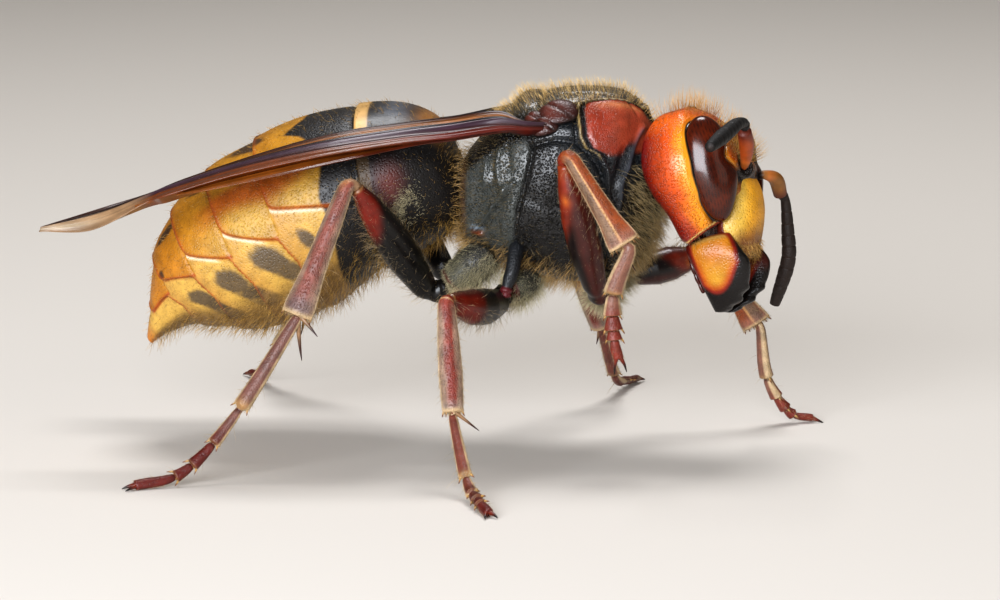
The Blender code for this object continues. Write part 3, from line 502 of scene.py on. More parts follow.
def thorax_skin():
    count = 400
    places = np.linspace(0, 10, 250)
    points = body_grid(THORAX_SKIN, THORAX_SQUARENESS, places, count)
    x, y, z = points[..., 0], points[..., 1], points[..., 2]
    degrees = np.broadcast_to(off_top(count), x.shape)
    # Distances in mm in front of the collar's rear edge, of the side's seam and of the collar's ridge.
    collar = x - read(COLLAR_REAR, degrees)
    side_seam = x - read(SIDE_SEAM, degrees)
    carina = x - read(CARINA, degrees)
    side = step(degrees, 55, 66)
    back = fall(degrees, 30, 42)
    below_top = degrees - np.interp(x, (6.15, 7.0, 7.9, 8.45, 8.75), (31, 27, 24, 20, 10))

    # The raised rim along the top edge of the collar.
    push = 0.05 * bump(below_top, -1.5, 1.4) * step(x, 6.1, 6.3)
    # The collar stands over the part behind it, with a rim between two grooves.
    push += (0.07 * step(collar, -0.06, 0.04) + 0.06 * bump(collar, 0.06, 0.06)
             - 0.12 * bump(collar, -0.13, 0.08))
    push -= 0.10 * bump(collar, 0.30, 0.12) * step(degrees, 24, 32) * fall(degrees, 70, 80)
    # The ridge down the side of the collar, and the furrow behind it.
    push += 0.10 * bump(carina, 0, 0.09) * step(degrees, 36, 48) * fall(degrees, 92, 106)
    push -= 0.16 * bump(carina, -0.26, 0.16) * step(degrees, 62, 72) * fall(degrees, 92, 106)
    # The seam of the side, and the bulge in front of it.
    push -= 0.14 * bump(side_seam, 0, 0.08) * side
    push += 0.12 * bump(side_seam, 0.85, 0.6) * side * fall(degrees, 105, 135)
    for line, height, reach in THORAX_LINES:
        push += height * bump(off_line(x, degrees, line), 0, reach)
    # A knob halfway down the rear side, and the joint below it.
    knob = np.hypot(x - 3.36, (degrees - 89) * DEGREE_MM)
    push += 0.20 * bump(knob, 0, 0.20)
    push += 0.14 * bump(np.hypot(x - 2.20, (degrees - 118) * DEGREE_MM), 0, 0.30)
    # The scutellum between its two grooves, then the three lines along the back.
    push += back * (0.16 * bump(x, 4.05, 0.42) - 0.14 * bump(x, 4.70, 0.10) - 0.12 * bump(x, 3.42, 0.10))
    push -= 0.05 * back * (bump(np.abs(y), 0.95, 0.07) * step(x, 5.0, 5.6)
                           + bump(y, 0, 0.06) * step(x, 6.4, 7.2))
    # The hollow down the middle of the rear face, and a shallow dent along the side.
    push -= 0.30 * bump(y, 0, 0.50) * fall(x, 2.3, 2.8) * step(z, 10.0, 11.5)
    push -= 0.03 * bump(off_line(x, degrees, ((4.3, 92), (5.2, 95), (6.6, 90))), 0, 0.16)
    normals = grid_normals(points)
    points = points + normals * push[..., None]

    grey = step(-side_seam, 0.02, 0.20) * side * fall(degrees, 128, 145)
    red = step(collar, 0.30, 0.40) * fall(degrees, 69, 74) * step(below_top, 0.2, 2.4)
    red *= 1 - bump(carina, -0.12, 0.10) * step(degrees, 62, 68)
    red *= 1 - step(carina, -0.28, -0.16) * step(degrees, 60, 70) * fall(carina, -0.02, 0.05)
    top_of_collar = step(collar, 0.02, 0.10) * fall(below_top, -2.6, -0.4)
    edge = bump(collar, 0.05, 0.035)
    joint = np.hypot(x - 2.20, (degrees - 118) * DEGREE_MM)
    rim = step(-x, -1.85, -1.60) * step(degrees, 18, 40)
    paint = lay(coat_of(x.shape, "#0B0908"),
            ("#5A5244", back * fall(collar, -0.1, 0.1) * 0.5),  # down on the back
            ("#4A4E4A", grey * 0.45),  # grey rear side
            # Blue black behind and below the red patch, a painted bluish sheen on the black.
            ("#1E2226", step(collar, -2.0, -0.4) * step(degrees, 44, 50) * fall(degrees, 84, 100) * 0.7),
            ("#94402A", red),  # the collar's red patch
            # Paler top of the red patch, a painted highlight.
            ("#B87448", red * bump(below_top, 5, 5) * step(collar, 0.4, 1.0) * 0.8),  # paler top
            ("#6E1A0E", red * step(-collar, -1.6, -0.9) * 0.5),  # darker rear
            ("#3E2418", top_of_collar * 0.8),  # brown between the patches
            ("#A89678", bump(below_top, -1.5, 1.3) * step(x, 6.1, 6.3) * fall(x, 8.4, 8.8) * 0.9),  # pale rim
            ("#9E8656", edge * step(degrees, 13, 17) * fall(degrees, 70, 76) * 0.9),  # pale rear edge
            # The ridge's grey shine.
            ("#4A5058", bump(carina, 0, 0.07) * step(degrees, 44, 52) * fall(degrees, 90, 100) * 0.6),
            ("#6A3418", bump(np.hypot(x - 2.26, (degrees - 120) * DEGREE_MM), 0, 0.20)),  # joint
            # A painted bluish glint in an arc round the joint.
            ("#6E7C88", bump(joint, 0.26, 0.08) * step(-degrees, -120, -112) * 0.8),  # ring round the joint
            ("#4B3420", rim * 0.85))  # rim of the waist
    glossy = bump(knob, 0, 0.24) + bump(carina, 0, 0.1) * step(degrees, 44, 52)
    pits = np.clip((0.45 + 0.55 * side) * (1 - red) + 0.36 * red - glossy, 0, 1) * (1 - 0.7 * edge)
    skin_from("thorax_skin", [(points, paint, pits)], FINISHES["black"],
              ("pronotum", "mesothorax", "propodeum"))
    return {"points": points, "normals": normals, "degrees": degrees, "collar": collar, "x": x,
            "seam": side_seam}


thorax = thorax_skin()


# %% [markdown]
# ## The gaster
# The abdomen is six rings that telescope. Each ring is a back plate (tergite), whose rear edge
# stands over the next ring and whose lower edge laps over the belly plate (sternite). The yellow
# ground, the black bases and the spots follow the place along the body and the angle round it.

# %% Gaster skin
# The skin departs from the solids at the waist and at the tip.
GASTER_SKIN = GASTER_RINGS.copy()
GASTER_SKIN[0] = (1.62, 11.05, 1.62, 9.30, 1.15)
GASTER_SKIN[1] = (1.12, 12.00, 1.22, 8.85, 1.95)
GASTER_SKIN[9:, (0, 2)] += ((0.12,), (0.24,), (0.28,))
# How many degrees down each back plate reaches at its front, the first all round.
PLATE_FRONT = np.array((220, 91, 90, 87, 86, 84))
LAST_SHORT = 1.15


def spot(place, degrees, middle, half, tilt):
    """An oval mark at (place, degrees), leaning by tilt."""
    across = (place - middle[0]) / half[0]
    down = (degrees - middle[1]) / half[1]
    ragged = 0.05 * np.sin(place * 23 + degrees * 0.5) + 0.03 * np.sin(place * 41 - degrees * 0.9)
    reach = np.sqrt((across + tilt * down) ** 2 + down ** 2) + ragged
    return 1 - step(reach, 0.68, 1.18)


# Dark marks of the back: (place, degrees), half their size, lean.
BACK_MARKS = (((6.14, 12), (0.34, 9), 0.5), ((6.12, 0), (0.22, 12), 0), ((7.20, 23), (0.28, 7), 0.6),
              ((7.06, 0), (0.14, 12), 0), ((8.34, 28), (0.34, 7), 0.4), ((8.88, 63), (0.10, 6), 0),
              ((8.06, 0), (0.12, 12), 0))


def gaster_skin():
    count = 300
    places = np.linspace(0, 11, 330)
    points = body_grid(GASTER_SKIN, GASTER_SQUARENESS, places, count)
    normals = grid_normals(points)
    x = points[..., 0]
    degrees = np.broadcast_to(off_top(count), x.shape)
    place = np.broadcast_to(places[:, None], x.shape)
    number = np.clip(np.searchsorted(GASTER_BORDERS, place, side="right") - 1, 0, 5)
    start, end = GASTER_BORDERS[number], GASTER_BORDERS[number + 1] - LAST_SHORT * (number == 5)
    local = (place - start) / (end - start)
    lower_edge = PLATE_FRONT[number] - 19 * local ** 1.5
    row_mm = np.linalg.norm(np.gradient(points, axis=0), axis=-1) / (places[1] - places[0])
    round_mm = np.interp(places, np.arange(12), GASTER_RINGS[:, 4])[:, None] * math.pi / 180
    rear_mm = (end - place) * row_mm
    low_mm = (lower_edge - degrees) * round_mm * 1.1
    sharp = 8.0
    inside = -np.log(np.exp(-sharp * np.clip(rear_mm, -3, 3))
                     + np.exp(-sharp * np.clip(low_mm, -3, 3))) / sharp
    # 1 on the back plates, 0 on the belly plates, whose borders lie a little off the others.
    back_plate = step(inside, -0.05, 0.03)
    belly_place = place - (0.15 - 0.24 * np.clip((degrees - 84) / 23, 0, 1))
    belly_number = np.clip(np.searchsorted(GASTER_BORDERS, belly_place, side="right") - 1, 0, 5)
    belly_start, belly_end = GASTER_BORDERS[belly_number], GASTER_BORDERS[belly_number + 1]
    belly_local = (belly_place - belly_start) / (belly_end - belly_start)
    belly_rear = (belly_end - belly_place) * row_mm

    # How far each plate stands out, more at its rear, over the next one.
    overlap = 0.03 + 0.12 * step(local, 0.0, 0.9)
    overlap = np.where(number == 0, 0.02 + 0.10 * step(local, 0.5, 1.0), overlap)
    overlap = np.where(number == 5, 0.03, overlap)
    under = -0.08 + 0.10 * step(belly_local, 0.0, 0.9)
    push = under + (overlap - under) * back_plate
    # The groove behind each rear edge, and the raised lower edge of the back plates.
    push -= 0.05 * bump(local, 0.03, 0.05) * (number > 0) * back_plate
    push += 0.03 * bump(inside, 0.05, 0.05) * (number > 0)
    points = points + normals * push[..., None]

    # Fine mottling, and the deeper orange below the wing, a painted shade of the wing.
    grain = (0.5 + 0.25 * np.sin(place * 61 + 3 * np.sin(degrees * 0.9))
             + 0.25 * np.sin(degrees * 2.3 + 5 * np.sin(place * 17)))
    painted_wing_shade = (step(degrees, 42, 50) * fall(degrees + 3 * np.sin(place * 3), 57, 69)
                  * step(place, 4.8, 5.2) * fall(place, 6.7, 7.7))
    yellow = lay(coat_of(x.shape, "#A8761A"),
            ("#AE6C10", step(place, 6.5, 9.0) * 0.8),  # more orange to the rear
            ("#B2943A", bump(degrees, 76, 15) * fall(place, 6.4, 8.2) * 0.6),  # paler flank
            ("#A06416", step(local, 0.70, 0.98) * 0.45),  # rear of each ring
            ("#A87A26", fall(local, 0.0, 0.25) * 0.35),  # front of each ring
            ("#945A0E", grain ** 2 * 0.35),
            # Painted shade of the wing: deeper orange just below it.
            ("#984208", painted_wing_shade * 0.8))
    belly_yellow = lay(coat_of(x.shape, "#BC9444"),
            ("#A27030", step(belly_local, 0.45, 1.0) * 0.6),
            # Darker towards the underside, a painted shade under the body.
            ("#5E4628", step(degrees, 108, 132) * 0.8))
    paint = mix(belly_yellow, yellow, back_plate)
    # The pale skin between the plates, the black first ring and its cream band.
    membrane = bump(inside, -0.13, 0.07) * (number > 0) * (number < 4) * step(local, 0.25, 0.5)
    first = (number == 0) * 1.0
    cream = first * step(place, 3.70, 3.76) * back_plate * (1 - 0.9 * step(degrees, 40, 56))
    # Where the black of the second ring ends, by the angle off the top.
    front_of_two = np.interp(degrees, (0, 10, 18, 25, 32, 45, 60, 80, 101, 130, 180),
                             (4.95, 5.0, 5.18, 5.36, 5.05, 4.78, 4.72, 4.92, 4.86, 5.05, 5.2))
    second = (place >= 4.0) * fall(place, front_of_two - 0.04, front_of_two + 0.04)
    # Dark marks on the back, then brown spots in slanting rows on the belly plates.
    marks = sum(spot(place, degrees, *mark) for mark in BACK_MARKS)
    spots = spot(place, degrees, (5.46, 98), (0.18, 8), 0.6)
    for there, turn in ((6.40, 97.5), (7.34, 99.5), (8.28, 104.5)):
        spots += spot(place, degrees, (there, turn), (0.31, 9.5), 0.4)
        spots += 0.8 * spot(place, degrees, (there - 0.22, turn + 10), (0.28, 10), 0.6)
        spots += 0.65 * spot(place, degrees, (there - 0.45, turn + 20), (0.30, 11), 0.6)
    # Orange brown lines along the edges of the plates.
    rear_line = bump(rear_mm, 0.03, 0.115) * (number > 0)
    low_line = bump(inside, 0.0, 0.085) * (local > 0.02)
    belly_line = bump(belly_rear, 0.03, 0.08) * (1 - back_plate) * (belly_number > 0) * fall(degrees, 100, 135)
    line = np.maximum(np.maximum(rear_line * back_plate, low_line * (place > 4.6)), belly_line * 0.9)
    line = np.clip(line, 0, 1)
    line *= 1 - 0.5 * fall(degrees, 20, 45) * (place < 7)
    paint = lay(paint,
            ("#E6E0C8", np.clip(membrane, 0, 1) * 0.75),  # membrane
            ("#0C0909", first),  # first ring
            ("#5E1A0A", first * bump(place, 3.30, 0.36) * bump(degrees, 84, 13) * 0.8),  # its red flank
            ("#A06E3A", first * bump(place, 2.2, 0.45) * fall(degrees, 34, 52) * 0.9),  # brown front
            # Grey top of the first ring, a painted sheen on the black.
            ("#6A6E76", first * bump(place, 3.15, 0.34) * fall(degrees, 20, 32) * 0.6),  # grey top
            ("#C99F62", cream),
            ("#100C0B", second),
            ("#2A1B14", np.clip(marks, 0, 1) * back_plate * 0.9),
            ("#463A2C", np.clip(spots, 0, 1) * (1 - back_plate) * 0.92),
            ("#984810", line),
            ("#C4741E", step(place, 10.0, 10.9) * 0.8))  # orange tip
    pits = 0.6 - 0.5 * first * fall(degrees, 36, 56)
    skin_from("gaster_skin", [(points, paint, pits)], FINISHES["yellow"],
              tuple(f"gaster_{part}" for part in range(1, 7)))
    return {"points": points, "normals": normals, "paint": paint, "degrees": degrees, "place": place,
            "first": first}


gaster = gaster_skin()


# %% [markdown]
# ## The head
# The head is a hollow-backed capsule. The skin is pushed in under the eyes and grooved round
# them, and the sockets of the feelers, the three small simple eyes and the raised brow between
# the feelers are pushed out of it.

# %% The head's own frame
def turn_matrix(degrees_xyz):
    a, b, c = (math.radians(value) for value in degrees_xyz)
    about_x = np.array(((1, 0, 0), (0, math.cos(a), -math.sin(a)), (0, math.sin(a), math.cos(a))))
    about_y = np.array(((math.cos(b), 0, math.sin(b)), (0, 1, 0), (-math.sin(b), 0, math.cos(b))))
    about_z = np.array(((math.cos(c), -math.sin(c), 0), (math.sin(c), math.cos(c), 0), (0, 0, 1)))
    return about_z @ about_y @ about_x


HEAD_TURN = turn_matrix(HEAD_TURNS)


def from_head(points):
    return np.asarray(points) @ HEAD_TURN.T + HEAD_AT


def to_head(points):
    return (np.asarray(points) - HEAD_AT) @ HEAD_TURN


def feeler_keys(name):
    """The four keys of a feeler, with the right socket set in beside the shield's corner."""
    keys = [np.array(key) for key in ANTENNAE[name]]
    if name == "right":
        keys[0] = from_head((2.02, -0.75, 0.10))
    return keys


def eye_turn(side):
    slant, lean = turn_matrix((0, -EYE_SLANT, 0)), turn_matrix((-EYE_LEAN * side, 0, 0))
    return slant @ lean @ turn_matrix((0, 0, EYE_TURN * side))


def eye_distance(points, side):
    """About how many mm a head point lies outside an eye."""
    local = (points - EYE_AT * (1, side, 1)) @ eye_turn(side)
    x, y, z = (local[..., axis] / EYE_HALF[axis] for axis in range(3))
    y = y / (1 - EYE_TAPER * np.clip(-z, 0, 1))
    notch = EYE_NOTCH * np.exp(-((z - EYE_NOTCH_AT) / EYE_NOTCH_TALL) ** 2)
    y = np.where(-y * side > 0, y / (1 - notch), y)
    reach = np.sqrt(x * x + y * y + z * z)
    slope = np.sqrt((x / EYE_HALF[0]) ** 2 + (y / EYE_HALF[1]) ** 2 + (z / EYE_HALF[2]) ** 2)
    return (reach - 1) / np.maximum(slope / np.maximum(reach, 1e-6), 0.2)


# %% Head skin
def head_grid(levels, count):
    angles = angle_row(count)[None, :]
    rows = levels[:, None, :]
    ahead = np.cos(angles) > 0
    squareness = np.where(ahead, FACE_SQUARENESS, NAPE_SQUARENESS)
    forward, turned = corner(np.cos(angles), squareness), corner(np.sin(angles), squareness)
    side = rows[..., 1] * turned
    x = forward * np.where(ahead, rows[..., 2], rows[..., 3])
    hollow = NAPE_HOLLOW * rows[..., 3] / HEAD_DEEPEST * np.exp(-(side / NAPE_HALF_WIDTH) ** 4) * -forward
    x = x + np.where(ahead, 0, hollow)
    low = np.clip((CHEEK_TOP - rows[..., 0]) / CHEEK_TALL, 0, 1)
    return np.stack((x, side, rows[..., 0] + CHEEK_SLOPE * low * np.maximum(0, x - CHEEK_FROM)), axis=-1)


def close_rings(grid, crown, floor):
    """Add rings that shrink to the middle at both ends, raised by crown and floor."""
    top, low = grid[-1], grid[0]
    more = [top.mean(axis=0) + (top - top.mean(axis=0)) * share + (0, 0, crown * (1 - share ** 2))
            for share in (0.93, 0.82, 0.66, 0.46, 0.24)]
    less = [low.mean(axis=0) + (low - low.mean(axis=0)) * share + (0, 0, floor * (1 - share ** 2))
            for share in (0.24, 0.46, 0.66, 0.82, 0.93, 0.98)]
    return np.concatenate((np.array(less), grid, np.array(more)))


def head_skin():
    count = 330
    grid = close_rings(head_grid(curve(HEAD_LEVELS, 180), count), 0.07, 0.9)
    normals = face_out(grid_normals(grid), grid, 90)
    x, y, z = grid[..., 0], grid[..., 1], grid[..., 2]
    near_eye = np.minimum(eye_distance(grid, -1), eye_distance(grid, 1))
    low_edge = down_rows(x.shape)

    push = -0.30 * step(-near_eye, -0.02, 0.35) - 0.05 * bump(near_eye, 0.04, 0.07)
    cheek = step(np.abs(y), 1.9, 2.6) * fall(x, -0.2, 1.0)
    push += 0.08 * cheek * bump(z, 0.0, 1.6)
    push += 0.18 * bump(y, 0, 0.55) * bump(z, -0.05, 0.45) * step(x, 1.2, 1.8)
    push -= 0.07 * bump(y, 0, 0.10) * bump(z, 0.9, 0.6) * step(x, 0.8, 1.3)
    sockets = np.zeros_like(x)
    for name in ANTENNAE:
        away = np.linalg.norm(grid - to_head(feeler_keys(name)[0]), axis=-1)
        push += 0.06 * bump(away, 0.48, 0.10) - 0.16 * fall(away, 0.28, 0.44)
        sockets = np.maximum(sockets, fall(away, 0.46, 0.62))
    ocelli = np.zeros_like(x)
    for at in ((0.22, 0.0, 2.62), (-0.12, 0.34, 2.66), (-0.12, -0.34, 2.66)):
        away = np.linalg.norm(grid - np.array(at), axis=-1)
        push += 0.09 * bump(away, 0, 0.13)
        ocelli = np.maximum(ocelli, fall(away, 0.12, 0.17))
    points = grid + normals * push[..., None]

    behind = np.clip(near_eye / 1.6, 0, 1)
    low_cheek = fall(z, -2.1, -0.8)
    face = step(x, 1.15, 1.55) * fall(np.abs(y), 1.25, 1.6)
    malar = step(x, 0.55, 0.9) * fall(z, -1.75, -1.50) * step(np.abs(y), 0.9, 1.2)
    line = bump(low_edge, 0.085, 0.016) * step(np.abs(y), 1.0, 1.3) * fall(x, 0.85, 1.15) * step(x, -0.9, -0.6)
    nape = step(-x, 0.3, 0.9) * fall(np.abs(y), 1.5, 1.9)
    paint = lay(coat_of(x.shape, "#DE9420"),
            ("#C8500C", step(behind, 0.05, 0.38)),  # from yellow at the eye to dark red behind
            ("#A03A10", step(behind, 0.30, 0.60)),
            ("#740E06", step(behind, 0.54, 0.92)),
            ("#D8880E", low_cheek * fall(behind, 0.28, 0.62) * 0.85),  # low cheek
            ("#DC640E", step(z, 1.3, 2.2) * fall(x, 0.6, 1.2) * 0.7),  # crown
            ("#8A4A10", face * 0.85),  # face
            ("#A8702A", face * bump(z, 0.75, 0.5) * bump(y, 0, 0.6) * 0.7),  # middle of the face
            ("#140C0A", np.clip(face * bump(z, -0.36, 0.30) * 1.5, 0, 1)),  # dark band over the clypeus
            ("#3E0B07", malar),  # between eye and jaw
            ("#7A2A16", fall(low_edge, 0.060, 0.078)),  # lower edge
            ("#C9A564", np.clip(line * 1.2, 0, 1)),  # pale line along it
            ("#140C0A", np.clip(sockets, 0, 1) * 0.95),  # sockets of the feelers
            ("#0C0808", np.clip(fall(near_eye, 0.06, 0.10), 0, 1)),  # ring round the eye
            ("#2A1008", ocelli),
            ("#1A100D", nape))  # nape
    pits = np.clip(1 - nape, 0, 1) * step(near_eye, 0.12, 0.2)
    skin_from("head_skin", [(from_head(points), paint, pits)], FINISHES["head"], ("head",))
    return {"points": from_head(points), "normals": normals @ HEAD_TURN.T, "paint": paint, "local": grid,
            "near_eye": near_eye, "nape": nape}


head = head_skin()

# %% [markdown]
# ## The compound eyes
# A compound eye is a smooth bean of tiny lenses, too fine to see at this size, over a dark
# chestnut layer. It is as glossy as varnish. A faint banding inside stands for the depth of
# colour that the lenses give.

# %% Eye lens material and eyes
def eye_lens():
    """Fine facets of clear chitin, IOR 1.50: a soft highlight over a chestnut body."""
    material, tree, shader, place, paint = start_material(
        "chestnut_eye_lens", Roughness=0.20, IOR=1.50, Coat_Weight=0.1, Coat_Roughness=0.10)
    bands = noise(tree, place, 1.1, 3.0, Distortion=0.6)
    tint(tree, shader, paint, remap(tree, bands, (0.35, 0.65), (0.65, 1.25)))
    facets = add_node(tree, "ShaderNodeTexVoronoi", Vector=place, Scale=1000 / 0.03)
    relief(tree, facets.outputs["Distance"], 0.001, 0.12, shader)
    return material


def make_eye(name, side, finish):
    rows, count = 200, 260
    tilt = np.linspace(0.02, math.pi - 0.02, rows)[:, None]
    turn = angle_row(count)[None, :]
    x, y, z = np.sin(tilt) * np.cos(turn), np.sin(tilt) * np.sin(turn), np.cos(tilt) + 0 * turn
    inner = np.clip(-y * side, 0, None)
    notch = EYE_NOTCH * inner * np.exp(-((z - EYE_NOTCH_AT) / EYE_NOTCH_TALL) ** 2)
    slim = 1 - EYE_TAPER * np.clip(-z, 0, None)
    sphere = np.stack((x * EYE_HALF[0], (y + side * notch) * EYE_HALF[1] * slim, z * EYE_HALF[2]), axis=-1)
    points = sphere @ eye_turn(side).T + EYE_AT * (1, side, 1)
    row = np.arcsin(np.clip(y, -1, 1)) * 8.0 + 0.20 * np.sin(z * 11)
    dash = bump(row - np.round(row), 0, 0.26) * bump((z * 6 + 0.37 * np.round(row) ** 2) % 1, 0.5, 0.34)
    paint = lay(coat_of(x.shape, "#3E1003"),
            ("#160502", step(np.abs(y * side - 0.25), 0.45, 0.95) * 0.7),
            ("#5C2006", (bump(z, 0.55, 0.35) + bump(z, -0.45, 0.40)) * 0.5),
            ("#1E0804", dash * 0.70 * step(x, 0.1, 0.5)),
            ("#140A0A", step(-x, -0.20, -0.06)))
    skin_from(name, [(from_head(points), paint, 0.0)], finish, (name,))


lens = eye_lens()
make_eye("eye_right", -1, lens)
make_eye("eye_left", 1, lens)


# %% [markdown]
# ## Face shield, jaws and mouth
# The clypeus is a domed shield below the feelers, yellow with an orange-brown toothed lower
# edge. The mandibles hang beside it: broad outer faces of yellow, dark red at the rear and black
# at the biting edge. The lip and the palps fill the mouth between them.

# %% Clypeus
# Each level: height, half width, reach of the front, x of the border.
SHIELD_LEVELS = ((-0.22, 0.78, 1.96, 1.84), (-0.36, 1.02, 2.06, 1.76), (-0.66, 1.22, 2.22, 1.58),
                 (-1.10, 1.34, 2.33, 1.40), (-1.68, 1.45, 2.34, 1.24), (-2.24, 1.50, 2.24, 1.12),
                 (-2.62, 1.46, 2.13, 1.16), (-2.98, 1.32, 2.00, 1.26), (-3.30, 1.04, 1.86, 1.34),
                 (-3.52, 0.66, 1.72, 1.36))


def clypeus_skin():
    rows, count = 110, 180
    levels = curve(SHIELD_LEVELS, rows)
    angles = angle_row(count)[None, :]
    height, half, front, border = (levels[:, axis][:, None] for axis in range(4))
    ahead = np.cos(angles) > 0
    part = down_rows((rows, count))
    y = half * corner(np.sin(angles), 2.2)
    x = border + np.where(ahead, front - border, 0.55) * corner(np.cos(angles), 2.2)
    z = height + 0.05 * (x - border) + 0.16 * bump(y, 0, 0.32) * step(part, 0.82, 1.0)
    grid = np.stack((x, y, z), axis=-1)
    normals = face_out(grid_normals(grid), grid, 50)
    push = 0.06 * bump(np.abs(y), 0.62, 0.2) * step(part, 0.86, 0.98) - 0.05 * bump(part, 0.84, 0.03)
    grid = grid + normals * push[..., None]
    share = y / half
    forward = np.cos(angles) + 0 * y
    paint = lay(coat_of(y.shape, "#DCA42C"),
            ("#BE9E46", step(-share, 0.45, 0.95) * 0.8),
            ("#E09C24", step(forward, 0.55, 0.95) * 0.7),
            ("#B8741C", step(share, 0.1, 0.7) * 0.6),
            ("#6E3814", step(part, 0.52, 0.80) * step(forward, 0.0, 0.6) * 0.9),
            ("#9A7840", step(part, 0.62, 0.88) * fall(forward, 0.1, 0.6) * 0.6),
            ("#4A1C10", step(part, 0.93, 0.97)),
            ("#120B0A", fall(part, 0.012, 0.04)),
            ("#5A1E10", fall(forward, -0.06, 0.02)))
    skin_from("face_shield", [(from_head(grid), paint, 0.8)], FINISHES["face"], ("clypeus",))
    return {"points": from_head(grid), "normals": normals @ HEAD_TURN.T, "part": part, "forward": forward}


clypeus = clypeus_skin()


# %% Tubes along a path
def tube_rings(path, halves, side_way, sides, low=None):
    """Ovals square to a path: halves are (in the plane of the bend, across it)."""
    path = np.asarray(path, float)
    across = unit(side_way)
    angles = angle_row(sides) + math.pi / 10
    rings = []
    for number, point in enumerate(path):
        way = unit(path[min(number + 1, len(path) - 1)] - path[max(number - 1, 0)])
        across = unit(across - way * np.dot(across, way))
        within = np.cross(way, across)
        wide, thick = halves[number]
        rings.append(point + np.outer(np.cos(angles) * wide, within)
                     + np.outer(np.sin(angles) * thick, across))
    rings = np.array(rings)
    if low is not None:
        rings[..., 2] = np.maximum(rings[..., 2], low)
    return rings


def same_both(size):
    """Halves of a round tube."""
    return np.stack((size, size), axis=-1)


def rounded(path, halves, amount=0.9):
    """Ease the two ends of a tube into round caps."""
    halves = np.array(halves, float)
    lengths = lengths_along(path)
    for away in (lengths, lengths[-1] - lengths):
        reach = np.clip(away / (amount * halves.min()), 0, 1)
        halves *= np.sqrt(np.clip(1 - (1 - reach) ** 2, 0.02, 1))[:, None]
    return halves


# %% Mandibles, lip and palps
# Each row: x, y and z of the middle, half of width and thickness, slope to the front.
JAW_ROWS = ((0.40, -1.40, -2.56, 0.86, 0.30, 0.20), (0.46, -1.47, -2.84, 0.98, 0.40, 0.12),
            (0.63, -1.52, -3.21, 1.10, 0.42, 0.0), (0.81, -1.46, -3.63, 1.16, 0.42, -0.03),
            (0.86, -1.34, -4.13, 1.06, 0.40, -0.06), (0.80, -1.12, -4.70, 0.86, 0.37, -0.10),
            (0.62, -0.84, -5.20, 0.56, 0.30, -0.12), (0.34, -0.58, -5.56, 0.20, 0.20, -0.10))


def mandible(side):
    rows, count = 110, 84
    levels = curve(JAW_ROWS, rows)
    part = np.linspace(0, 1, rows)
    middle = levels[:, :3] * (1, -side, 1)
    halves = rounded(middle, np.stack((levels[:, 3], levels[:, 4]), axis=-1), 0.8)
    angles = angle_row(count)[None, :]
    wide, out = corner(np.cos(angles), 2.5), corner(np.sin(angles), 2.2)
    lean = 0.25 * step(part, 0.3, 1.0)[:, None]
    teeth = 0.07 * np.sin(part * math.pi * 15) * step(part, 0.62, 0.72) * fall(part, 0.93, 1.0)
    reach = halves[:, :1] * wide + teeth[:, None] * step(wide, 0.5, 1.0)
    grid = np.stack((middle[:, :1] + reach, middle[:, 1:2] + side * (halves[:, 1:] * out - lean * reach * 0.5),
                     middle[:, 2:3] + levels[:, 5:6] * reach + 0 * out), axis=-1)
    x, z = grid[..., 0], grid[..., 2]
    part, outer = np.broadcast_to(part[:, None], x.shape), np.broadcast_to(out, x.shape)
    rear = read(((-5.6, 0.75), (-4.92, 0.45), (-4.45, 0.06), (-3.64, -0.10), (-2.96, -0.22), (-2.5, -0.3)), z)
    front = read(((-5.0, 0.62), (-4.51, 1.08), (-3.73, 1.55), (-3.2, 1.50), (-2.5, 1.28)), z)
    # The bright field of the jaw ends at four borders, and beyond them it is black.
    borders = np.stack((rear - x, x - front, -4.80 - z, z + 2.62 - 0.1 * x))
    beyond = np.log(np.exp(7 * np.clip(borders, -3, 3)).sum(axis=0)) / 7
    paint = lay(coat_of(x.shape, "#AC6C0A"),
            ("#A07A3E", fall(part, 0.07, 0.17)),  # pale base
            ("#A0540C", bump(z, -3.25, 0.34) * bump(x, 0.8, 0.5) * 0.7),
            ("#C8962E", bump(z, -4.3, 0.5) * bump(x, 0.7, 0.4) * 0.6),
            ("#A84A0C", step(beyond, -0.36, -0.02) * step(-z, 2.8, 4.2)),  # edge of the field
            ("#7A1A08", step(beyond, -0.08, 0.04)),
            ("#0C0706", step(beyond, 0.04, 0.18)),  # beyond the field
            ("#5A120A", step(rear - x, 0.10, 0.16) * fall(-z, 4.2, 4.8) * 0.8),
            ("#4A160C", fall(outer, -0.4, 0.0) * fall(-z, 3.6, 4.2) * 0.9))  # inner face
    name = "mandible_right" if side < 0 else "mandible_left"
    skin_from(name, [(from_head(grid), paint, 0.4)], FINISHES["face"], (name,))


for jaw_side in (-1, 1):
    mandible(jaw_side)


def mouth():
    grids = []
    lip = curve(((1.20, 0, -1.9), (1.15, 0, -2.7), (0.95, 0, -3.3), (0.70, 0, -3.9)), 30)
    halves = rounded(lip, curve(((0.45, 0.95), (0.50, 0.95), (0.45, 0.75), (0.30, 0.40)), 30), 0.8)
    rings = tube_rings(lip, halves, (0, 1, 0), 32)
    grids.append((from_head(rings), coat_of(rings.shape[:2], "#4A1A10"), 0.3))
    for side in (-1, 1):
        keys = ((-0.30, 1.15 * side, -2.6), (-0.42, 1.30 * side, -3.4), (-0.30, 1.20 * side, -4.1),
                (-0.12, 1.05 * side, -4.75))
        path = curve(keys, 60)
        part = np.linspace(0, 1, 60)
        size = 0.085 - 0.02 * part + 0.025 * np.abs(np.sin(part * math.pi * 5))
        rings = tube_rings(path, rounded(path, same_both(size)), (0, 1, 0), 14)
        grids.append((from_head(rings), coat_of(rings.shape[:2], "#3E120C"), 0.1))
    skin_from("lip_and_palps", grids, FINISHES["smooth"], ())


mouth()


# %% [markdown]
# ## Feelers
# Each feeler is a long first joint (scape), a small bead (pedicel) and ten short joints in a
# whip (flagellum). The scape is orange, and the whip black-brown and softly matt.

